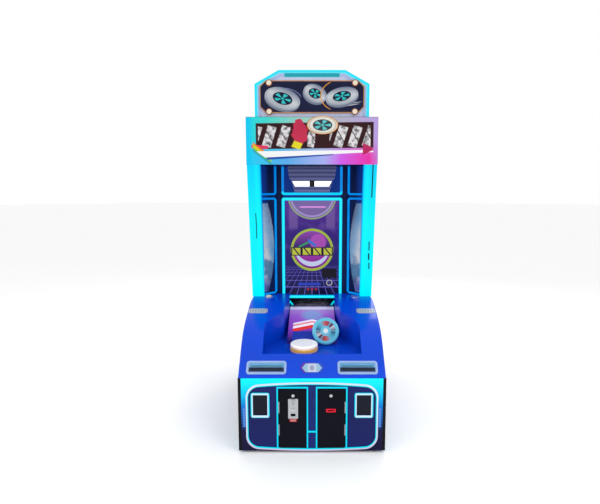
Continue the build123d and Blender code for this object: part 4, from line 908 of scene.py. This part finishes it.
def leaning_disc_finish():
    """Pale blue rim round a dark face cut into red, navy and white sectors, white hub."""
    look = Look("disc_print", Coat_Weight=0.5, Emission_Strength=0.2)
    u = look.x - LEAN.mid[0]
    v = (look.y - LEAN.mid[1]) * LEAN_TILT[0] + (look.z - LEAN.mid[2]) * LEAN_TILT[1]
    away = look.far(u, v, (0.0, 0.0))
    angle = v.math("ARCTAN2", u)
    sector = (angle * 0.9549 + 0.9).wrap(3.0) * 1.3333
    face = look.ramp(
        sector * 0.25 + 0.5, (0.0, (0.02, 0.03, 0.12)), (0.3, (0.5, 0.05, 0.05)),
        (0.55, (0.06, 0.42, 0.62)), (0.8, (0.02, 0.03, 0.12)), (1.0, (0.6, 0.62, 0.7)))
    face = look.mix(face, (0.1, 0.5, 0.7), (angle * 0.9549).wrap(1.0).band(-0.05, 0.05, 0.01))
    rim = look.mix((0.06, 0.42, 0.66), (0.18, 0.6, 0.78), look.noise(20.0))
    colour = look.mix(rim, face, away.step(0.065, 0.062))
    colour = look.paint(
        colour,
        ((0.14, 0.5, 0.72), away.step(0.034, 0.031)),
        ((0.75, 0.78, 0.82), away.step(0.017, 0.014)),
    )
    return look.glow(colour, Roughness=look.noise(60.0) * 0.15 + 0.18).grain(300.0)


def flat_disc_finish():
    """White cap shading to a pink-cream side, with fine use marks."""
    look = Look("disc_cap", Coat_Weight=0.4)
    fall = (look.z - DISC.low[2]) / (2 * DISC.half[2])
    mark = look.noise(70.0, 8.0).step(0.6, 0.72)
    # The pink-cream side is the disc's own colour; its darkening towards the bottom is painted
    # shade.
    colour = look.ramp(
        fall, (0.0, (0.55, 0.3, 0.26)), (0.45, (0.7, 0.48, 0.42)), (0.75, (0.8, 0.66, 0.6)),
        (0.92, (0.86, 0.86, 0.88)), (1.0, (0.9, 0.9, 0.93)))
    look.feed(
        Base_Color=look.mix(colour, (0.5, 0.5, 0.55), mark * 0.25), Roughness=mark * 0.2 + 0.2)
    return look.grain(200.0)


def wood_finish():
    """Plywood floor board: long grain in three browns."""
    look = Look("plywood", Roughness=0.7)
    grain = look.noise(5.0, 8.0, (14.0, 1.0, 14.0))
    colour = look.ramp(
        grain, (0.3, (0.19, 0.11, 0.05)), (0.55, (0.36, 0.24, 0.13)), (0.75, (0.46, 0.33, 0.19)))
    look.feed(Base_Color=colour, Roughness=grain * 0.2 + 0.55)
    return look.bump(grain, 0.0004, 0.3)


def dispenser_finish():
    """Black moulded feeder above a stack of pale folded tickets."""
    look = Look("ticket_unit")
    ticket = look.z.step(0.188, 0.186)
    # Darker lines at each fold: painted shade in the creases of the ticket stack.
    fold = look.z.wrap(0.003).band(-0.0008, 0.0008, 0.0004)
    paper = look.mix((0.75, 0.66, 0.42), (0.5, 0.4, 0.22), fold)
    cloud = look.noise(40.0, 3.0)
    look.feed(
        Base_Color=look.mix(
            (0.012, 0.012, 0.014), paper, ticket * abs(look.x - 0.111).step(0.0362, 0.0358)),
        Roughness=cloud * 0.2 + 0.4)
    return look.grain(500.0, 0.3)


def label_finish():
    """Plain red label with two pale bars."""
    look = Look("plain_label", Emission_Strength=0.25)
    u = look.x - LABEL_CENTRE[0]
    v = look.z - LABEL_CENTRE[2]
    cloud = look.noise(60.0, 4.0)
    colour = look.mix((0.42, 0.01, 0.015), (0.62, 0.02, 0.03), cloud)
    bars = look.panel(u, abs(v), (0.0, 0.0035), (0.034, 0.002), 0.0004)
    colour = look.mix(colour, (0.75, 0.72, 0.7), bars)
    return look.glow(colour, Roughness=cloud * 0.2 + 0.25)


def oval_emblem_finish():
    """Cream oval with a dark and orange edge and a plain spoked wheel on a dark disc."""
    look = Look("oval_badge", Emission_Strength=0.6, Coat_Weight=0.6)
    trim = bpy.context.scene.cabinet_trim
    flat = trim.emblem_width / trim.emblem_height
    away = look.far(look.x, look.z, (EMBLEM_CENTRE[0], EMBLEM_CENTRE[2]), flat)
    cloud = look.noise(14.0, 3.0)
    colour = look.mix((0.72, 0.7, 0.6), (0.9, 0.88, 0.8), cloud)
    colour = look.mix(colour, (0.02, 0.03, 0.05), away.step(0.065, 0.063))
    motif = look.spokes(look.x - EMBLEM_CENTRE[0], (look.z - EMBLEM_CENTRE[2]) * flat, 0.055)
    colour = look.paint(
        colour,
        ((0.1, 0.6, 0.6), motif),
        ((0.25, 0.1, 0.05), away.band(0.086, 0.089)),
        ((0.8, 0.35, 0.08), away.step(0.094, 0.096)),
        ((0.06, 0.006, 0.03), away.step(0.101, 0.103)),
    )
    return look.glow(colour, Roughness=cloud * 0.15 + 0.2)


# ---- New pieces ----------------------------------------------------------------------

def console_height(depth):
    """Height of the console's cheek at a depth, read from its upper corners."""
    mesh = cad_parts["console_shell"].data
    points = np.empty(len(mesh.vertices) * 3)
    mesh.vertices.foreach_get("co", points)
    points = points.reshape(-1, 3)
    cheek = points[np.abs(points[:, 0]) > 0.31]
    depths = np.unique(np.round(cheek[:, 1], 4))
    tops = np.array([cheek[np.abs(cheek[:, 1] - d) < 2e-4, 2].max() for d in depths])
    rising = tops > np.maximum.accumulate(np.concatenate([[0.0], tops[:-1]]))
    depths, tops = depths[rising], tops[rising]
    return np.interp(depth, depths, tops)


def make_header_emblem(trim):
    """Oval badge: a radius that eases from 1 by a cosine while its height rises by a sine."""
    turn = np.linspace(0, np.pi / 2, 9)
    radius = np.concatenate([[1.0], 1.0 - (1.0 - np.cos(turn)) * 0.05, [0.6, 0.02]])
    rise = 0.004 + np.sin(turn) * (trim.emblem_proud - 0.005)
    height = np.concatenate([[0.0], rise, [trim.emblem_proud, trim.emblem_proud + 0.0005]])
    size = (trim.emblem_width / 2, trim.emblem_height / 2)
    points = dome(EMBLEM_CENTRE, -1.0, size, (radius, height), 96)
    make_piece("header_emblem", [points], oval_emblem_finish())


def make_side_teeth(trim):
    """Toothed bars: a rounded loop whose half widths follow a flattened sine of its height."""
    low, high = TEETH_RISE
    z = np.linspace(low, high, 97)
    wave = np.clip(np.sin((z - low) / (high - low) * trim.teeth * 2 * np.pi) * 2.2, -1.0, 1.0)
    end = np.minimum(1.0, np.sqrt(np.clip(np.minimum(z - low, high - z) / 0.004, 0.0, 1.0)) + 0.15)
    half = (0.0065 + wave * 0.0018) * end
    u, v = rounded_loop((1.0, 1.0), 0.4, 24)
    grids = []
    for side in (-1, 1):
        across = side * TEETH_X + np.outer(half, u)
        out = np.outer(half * 0.55, v) + FACE_Y + 0.001
        grids.append(np.stack([across, out, np.broadcast_to(z[:, None], across.shape)], axis=-1))
    look = lit_surface("bar_teeth", 0.5, (0.1, 0.3, 0.85))
    make_piece("side_teeth", grids, look)


def make_arm_plates(trim):
    """Plates on the cheeks: shrinking rounded loops laid along the cheek's slope."""
    inset = np.array([0.0, 0.0, 0.06, 0.5, 0.98])
    lift = np.array([-0.0005, 0.0016, 0.0024, 0.0024, 0.0024])
    u, v = rounded_loop((trim.plate_width / 2, trim.plate_depth / 2), 0.012)
    grids = []
    for side in (-1, 1):
        x = side * PLATE_X + np.outer(1.0 - inset, u)
        y = FACE_Y + PLATE_DEPTH + np.outer(1.0 - inset, v)
        grids.append(np.stack([x, y, console_height(y) + lift[:, None]], axis=-1))
    look = Look("cheek_plates", Coat_Weight=0.2)
    cell = look.x.wrap(0.018).band(-0.0055, 0.0055) * look.y.wrap(0.012).band(-0.0035, 0.0035)
    cloud = look.noise(40.0, 4.0)
    look.feed(
        Base_Color=look.mix((0.42, 0.44, 0.5), (0.16, 0.18, 0.26), cell),
        Roughness=cloud * 0.2 + 0.3)
    make_piece("arm_plates", grids, look)


def make_coin_label(trim):
    """Label: a rounded loop raised by the thickness of a sticker."""
    inset = np.array([0.0, 0.0, 0.02, 0.6, 0.98])
    lift = np.array([0.0, 0.0006, 0.0008, 0.0008, 0.0008])
    u, v = rounded_loop((trim.label_width / 2, trim.label_height / 2), 0.003)
    x = LABEL_CENTRE[0] + np.outer(1.0 - inset, u)
    z = LABEL_CENTRE[2] + np.outer(1.0 - inset, v)
    y = np.broadcast_to((LABEL_CENTRE[1] - lift)[:, None], x.shape)
    points = np.stack([x, y, z], axis=-1)
    make_piece("coin_label", [points], label_finish(), "coin_door")


def make_back_screws(trim):
    """Pan-head screws on the back: a low quarter-round profile turned about each axis."""
    back = Place("back_panel")
    high = back.high
    rows = np.linspace(back.low[2] + 0.04, high[2] - 0.04, 7)
    profile = (
        np.array([1.0, 1.0, 0.86, 0.5, 0.02]), np.array([0.0, 0.0008, 0.0021, 0.0026, 0.0026]))
    size = (trim.screw_radius, trim.screw_radius)
    spots = [(side * (high[0] - 0.022), high[1] - 0.0002, row) for side in (-1, 1) for row in rows]
    grids = [dome(spot, 1.0, size, profile, 10) for spot in spots]
    make_piece("back_screws", grids, steel_finish("screw_steel", (0.3, 0.31, 0.33)))


# ---- Stage ---------------------------------------------------------------------------

def add_light(name, spot, target, size, energy):
    """A round area light at a spot, turned to a target."""
    lamp = bpy.data.lights.new(name, "AREA")
    lamp.shape, lamp.size, lamp.energy = "DISK", size, energy
    holder = bpy.data.objects.new(name, lamp)
    holder.location = spot
    way = Vector(target) - Vector(spot)
    holder.rotation_euler = way.to_track_quat("-Z", "Y").to_euler()
    bpy.context.scene.collection.objects.link(holder)


def add_floor():
    """Pale floor: a polar grid whose rings spread with the square of their index."""
    rings, spokes, reach = 24, 64, 60.0
    ring = np.linspace(0.02, 1.0, rings) ** 2 * reach
    turn = np.linspace(0.0, 2 * np.pi, spokes, endpoint=False)
    x, y = np.outer(ring, np.cos(turn)), np.outer(ring, np.sin(turn))
    points = np.stack([x, y, np.zeros_like(x)], axis=-1).reshape(-1, 3)
    mesh = bpy.data.meshes.new("floor")
    faces = grid_faces(rings, spokes).tolist() + [list(range(spokes - 1, -1, -1))]
    mesh.from_pydata(points.tolist(), [], faces)
    look = Look("pale_floor")
    cloud = look.noise(2.0, 4.0)
    look.feed(
        Base_Color=look.mix((0.93, 0.93, 0.94), (0.96, 0.96, 0.96), cloud),
        Roughness=cloud * 0.1 + 0.6)
    mesh.materials.append(look.material)
    floor = bpy.data.objects.new("floor", mesh)
    bpy.context.scene.collection.objects.link(floor)


def add_camera(stage):
    """The camera, looking along +Y and a little down."""
    lens = bpy.data.cameras.new("camera")
    lens.lens, lens.sensor_width = stage.lens, SENSOR_WIDTH
    lens.shift_x = stage.shift
    camera = bpy.data.objects.new("camera", lens)
    camera.location = stage.camera_place
    camera.rotation_euler = (math.pi / 2 - stage.camera_pitch, 0.0, 0.0)
    bpy.context.scene.collection.objects.link(camera)
    bpy.context.scene.camera = camera


# ---- Sidebar values ------------------------------------------------------------------

def colour_property(name, text, default):
    """A colour to pick in the sidebar."""
    return bpy.props.FloatVectorProperty(name=name, description=text, default=default,
                                         subtype="COLOR", size=3, min=0.0, max=1.0)


def length_property(name, text, default):
    """A length that may be halved or doubled."""
    return bpy.props.FloatProperty(name=name, description=text, default=default,
                                   min=default / 2, max=default * 2, unit="LENGTH")


class CabinetColours(bpy.types.PropertyGroup):
    """Colours that several finishes share."""
    glow: colour_property(
        "Glow", "Bright colour of the light frames and columns", (0.0, 0.78, 0.95))
    glow_deep: colour_property(
        "Deep glow", "Colour of the light frames in their darker stretches", (0.0, 0.35, 0.9))
    shell: colour_property("Console", "Gloss colour of the console moulding", (0.0, 0.055, 0.62))


class CabinetTrim(bpy.types.PropertyGroup):
    """Sizes of the pieces made here."""
    emblem_proud: bpy.props.FloatProperty(
        name="Badge height", description="How far the oval badge stands out of the header",
        default=0.012, min=0.006, max=0.02, unit="LENGTH")
    emblem_width: length_property("Badge width", "Width of the oval badge", 0.21)
    emblem_height: length_property("Badge tallness", "Height of the oval badge's face", 0.12)
    plate_width: length_property("Plate width", "Width of the plates on the cheeks", 0.128)
    plate_depth: length_property("Plate depth", "Depth of the plates on the cheeks", 0.068)
    label_width: length_property("Label width", "Width of the coin door's label", 0.044)
    label_height: length_property("Label height", "Height of the coin door's label", 0.018)
    teeth: bpy.props.IntProperty(
        name="Teeth", description="Teeth on each side bar of the base", default=7, min=3, max=14)
    screw_radius: bpy.props.FloatProperty(
        name="Screw radius", description="Radius of the screw heads on the back",
        default=0.0055, min=0.003, max=0.01, unit="LENGTH")


class CabinetStage(bpy.types.PropertyGroup):
    """Camera and surroundings."""
    lens: bpy.props.FloatProperty(
        name="Lens", description="Focal length on a 36 mm sensor", default=28.2, min=15.0,
        max=120.0)
    shift: bpy.props.FloatProperty(
        name="Shift", description="Sideways shift of the lens", default=-0.02, min=-0.2, max=0.2)
    camera_place: bpy.props.FloatVectorProperty(
        name="Camera", description="Where the camera stands", default=(0.0, -3.334, 1.548),
        subtype="TRANSLATION", unit="LENGTH")
    camera_pitch: bpy.props.FloatProperty(
        name="Pitch", description="How far the camera looks down", default=math.radians(7.4),
        subtype="ANGLE", unit="ROTATION")
    world: bpy.props.FloatProperty(
        name="World", description="Strength of the white surroundings", default=1.0, min=0.0,
        max=3.0)


# ---- Operators -----------------------------------------------------------------------

class CABINET_OT_base(bpy.types.Operator):
    """Finishes of the base, its doors, feet and wheels"""
    bl_idname = "cabinet.base"
    bl_label = "Base finishes"

    def execute(self, context):
        dress(front_panel_finish(), "front_panel")
        dress(outline_finish(), "outline_light")
        dress(panel_light_finish(), "panel_lights")
        dress(door_finish(), "coin_door", "ticket_door")
        dress(side_finish(), "side_panel_left", "side_panel_right")
        dress(wood_finish(), "base_floor")
        dress(dispenser_finish(), "ticket_dispenser")
        dress(
            surface("smoked_panes", (0.002, 0.004, 0.014), 0.12, Coat_Weight=0.15), "window_panes")
        dress(surface("black_trim", (0.004, 0.004, 0.006), 0.35), "corner_trims")
        dress(surface("red_mouth", (0.5, 0.012, 0.03), 0.25, Emission_Color=(0.5, 0.01, 0.03, 1.0),
                      Emission_Strength=0.35), "ticket_mouth")
        dress(surface("frame_paint", (0.03, 0.03, 0.035), 0.5, 0.15, 300.0), "base_frame")
        dress(surface("foot_rubber", (0.012, 0.012, 0.012), 0.7, 0.1, 700.0, 0.0003),
              "foot_front_left", "foot_front_right", "foot_rear_left", "foot_rear_right")
        dress(surface("wheel_tread", (0.02, 0.02, 0.022), 0.6), "wheel_left", "wheel_right")
        dress(surface("bin_plastic", (0.03, 0.05, 0.11), 0.4), "cash_box")
        dress(steel_finish("coin_plate_steel", (0.55, 0.57, 0.6), 0.3), "coin_mech")
        dress(
            steel_finish("lock_chrome", (0.62, 0.63, 0.65), 0.24, (1.0, 60.0, 1.0)),
            "coin_door_lock", "ticket_door_lock", "coin_return_button")
        dress(
            steel_finish("zinc", (0.42, 0.43, 0.44), 0.4, (60.0, 1.0, 1.0)), "wheel_brackets",
            "door_hinges")
        return {"FINISHED"}


class CABINET_OT_console(bpy.types.Operator):
    """Finishes of the console, its buttons, lane and discs"""
    bl_idname = "cabinet.console"
    bl_label = "Console finishes"

    def execute(self, context):
        dress(console_finish(), "console_shell")
        dress(grille_finish(), "speaker_grilles")
        dress(emblem_finish(), "emblem_plate")
        dress(ramp_finish(), "lane_ramp")
        dress(flat_disc_finish(), "disc_flat")
        dress(leaning_disc_finish(), "disc_leaning")
        dress(surface("disc_band", (0.75, 0.42, 0.06), 0.3, Coat_Weight=0.3), "disc_flat_band")
        dress(surface("speaker_paper", (0.015, 0.015, 0.016), 0.75), "speaker_drivers")
        dress(surface("catcher_mat", (0.012, 0.014, 0.03), 0.6), "disc_catcher")
        dress(lit_surface("slot_glow", 1.0, tone("glow")), "slot_light")
        dress(surface("bezel_chrome", (0.6, 0.62, 0.68), 0.2, Metallic=0.85), "button_bezels")
        dress(lit_surface("cream_button", 0.7, (0.8, 0.72, 0.5)), "start_button_left")
        dress(lit_surface("blue_button", 0.6, (0.02, 0.12, 0.7)), "start_button_right")
        return {"FINISHED"}


class CABINET_OT_tower(bpy.types.Operator):
    """Finishes of the tower, its screen, columns, mirrors and lamps"""
    bl_idname = "cabinet.tower"
    bl_label = "Tower finishes"

    def execute(self, context):
        dress(column_finish(), "column_covers")
        dress(screen_finish(), "screen_panel")
        dress(tower_light_finish(), "tower_lights")
        dress(dark_board_finish(), "column_boards", "screen_surround", "wing_panels")
        dress(mirror_finish(), "wing_mirrors")
        dress(pod_finish(), "lamp_pod")
        dress(lit_surface("white_lamps", 1.6, (0.95, 0.97, 1.0)), "lamp_lenses")
        return {"FINISHED"}


class CABINET_OT_header(bpy.types.Operator):
    """Finishes of the header and topper"""
    bl_idname = "cabinet.header"
    bl_label = "Header finishes"

    def execute(self, context):
        dress(header_wrap_finish(), "header_box")
        dress(header_finish(), "header_face")
        dress(topper_finish(), "topper_box")
        dress(topper_panel_finish(), "topper_panel")
        dress(stud_finish(), "topper_studs")
        return {"FINISHED"}


class CABINET_OT_rear(bpy.types.Operator):
    """Finishes of the back, its door, fan and the units inside"""
    bl_idname = "cabinet.rear"
    bl_label = "Rear finishes"

    def execute(self, context):
        dress(
            surface("back_laminate", (0.01, 0.01, 0.014), 0.45, 0.15, 500.0, 0.0002), "back_panel")
        dress(
            surface("rear_door_paint", (0.018, 0.018, 0.024), 0.4, 0.12, 800.0, 0.0001),
            "rear_door")
        dress(steel_finish("rear_lock", (0.6, 0.6, 0.62), 0.25), "rear_door_lock")
        dress(surface("fan_plastic", (0.008, 0.008, 0.009), 0.45), "fan_frame")
        dress(surface("rotor_plastic", (0.02, 0.02, 0.022), 0.35), "fan_rotor")
        dress(steel_finish("unit_case", (0.46, 0.47, 0.48), 0.4), "power_unit")
        dress(surface("computer_paint", (0.05, 0.05, 0.055), 0.45), "computer_case")
        return {"FINISHED"}


def piece_operator(key, label, text, make):
    """An operator that makes one piece."""
    def execute(self, context):
        make(context.scene.cabinet_trim)
        return {"FINISHED"}
    fields = {
        "__doc__": text, "bl_idname": "cabinet." + key, "bl_label": label, "execute": execute}
    return type("CABINET_OT_" + key, (bpy.types.Operator,), fields)


PIECES = [piece_operator(*row) for row in (
    ("emblem", "Header badge", "Adds the oval badge on the header", make_header_emblem),
    ("teeth", "Side teeth", "Adds the toothed bars beside the base outline", make_side_teeth),
    ("arm_plates", "Cheek plates", "Adds the plates on the console's cheeks", make_arm_plates),
    ("label", "Coin label", "Adds the plain label on the coin door", make_coin_label),
    ("screws", "Back screws", "Adds the screws round the back", make_back_screws),
)]


class CABINET_OT_stage(bpy.types.Operator):
    """Floor, lights, surroundings and camera"""
    bl_idname = "cabinet.stage"
    bl_label = "Stage"

    def execute(self, context):
        scene = context.scene
        add_floor()
        add_light("key", (2.6, -3.4, 3.4), (0.0, -0.2, 1.1), 2.4, 55.0)
        add_light("fill", (-3.0, -3.0, 2.4), (0.0, -0.2, 1.0), 2.6, 35.0)
        add_light("rear", (0.8, 3.6, 3.2), (0.0, 0.0, 1.2), 2.6, 60.0)
        world = scene.world or bpy.data.worlds.new("white_room")
        scene.world = world
        world.use_nodes = True
        background = world.node_tree.nodes["Background"]
        background.inputs["Color"].default_value = (1.0, 1.0, 1.0, 1.0)
        background.inputs["Strength"].default_value = scene.cabinet_stage.world
        scene.view_settings.view_transform = "Standard"
        add_camera(scene.cabinet_stage)
        return {"FINISHED"}


OPERATORS = [CABINET_OT_base, CABINET_OT_console, CABINET_OT_tower, CABINET_OT_header,
             CABINET_OT_rear] + PIECES + [CABINET_OT_stage]
GROUPS = {
    "cabinet_colours": CabinetColours, "cabinet_trim": CabinetTrim, "cabinet_stage": CabinetStage}


class CABINET_PT_sidebar(bpy.types.Panel):
    """Lists the cabinet's values and operators"""
    bl_label = "Cabinet"
    bl_idname = "CABINET_PT_sidebar"
    bl_space_type = "VIEW_3D"
    bl_region_type = "UI"
    bl_category = "Cabinet"

    def draw(self, context):
        """Each group's values in a box, then the operators."""
        for key, group in GROUPS.items():
            box = self.layout.box()
            for field in group.__annotations__:
                box.prop(getattr(context.scene, key), field)
        for operator in OPERATORS:
            self.layout.operator(operator.bl_idname)


def register():
    """Registers the classes and hangs the groups on the scene."""
    for kind in list(GROUPS.values()) + OPERATORS + [CABINET_PT_sidebar]:
        bpy.utils.register_class(kind)
    for key, group in GROUPS.items():
        setattr(bpy.types.Scene, key, bpy.props.PointerProperty(type=group))


def unregister():
    """Takes everything off again, in reverse."""
    for key in GROUPS:
        delattr(bpy.types.Scene, key)
    for kind in reversed(list(GROUPS.values()) + OPERATORS + [CABINET_PT_sidebar]):
        bpy.utils.unregister_class(kind)


def main():
    """Runs every operator in order, then writes the two boxes."""
    register()
    for operator in OPERATORS:
        group, name = operator.bl_idname.split(".")
        getattr(getattr(bpy.ops, group), name)()


if __name__ == "__main__":
    main()
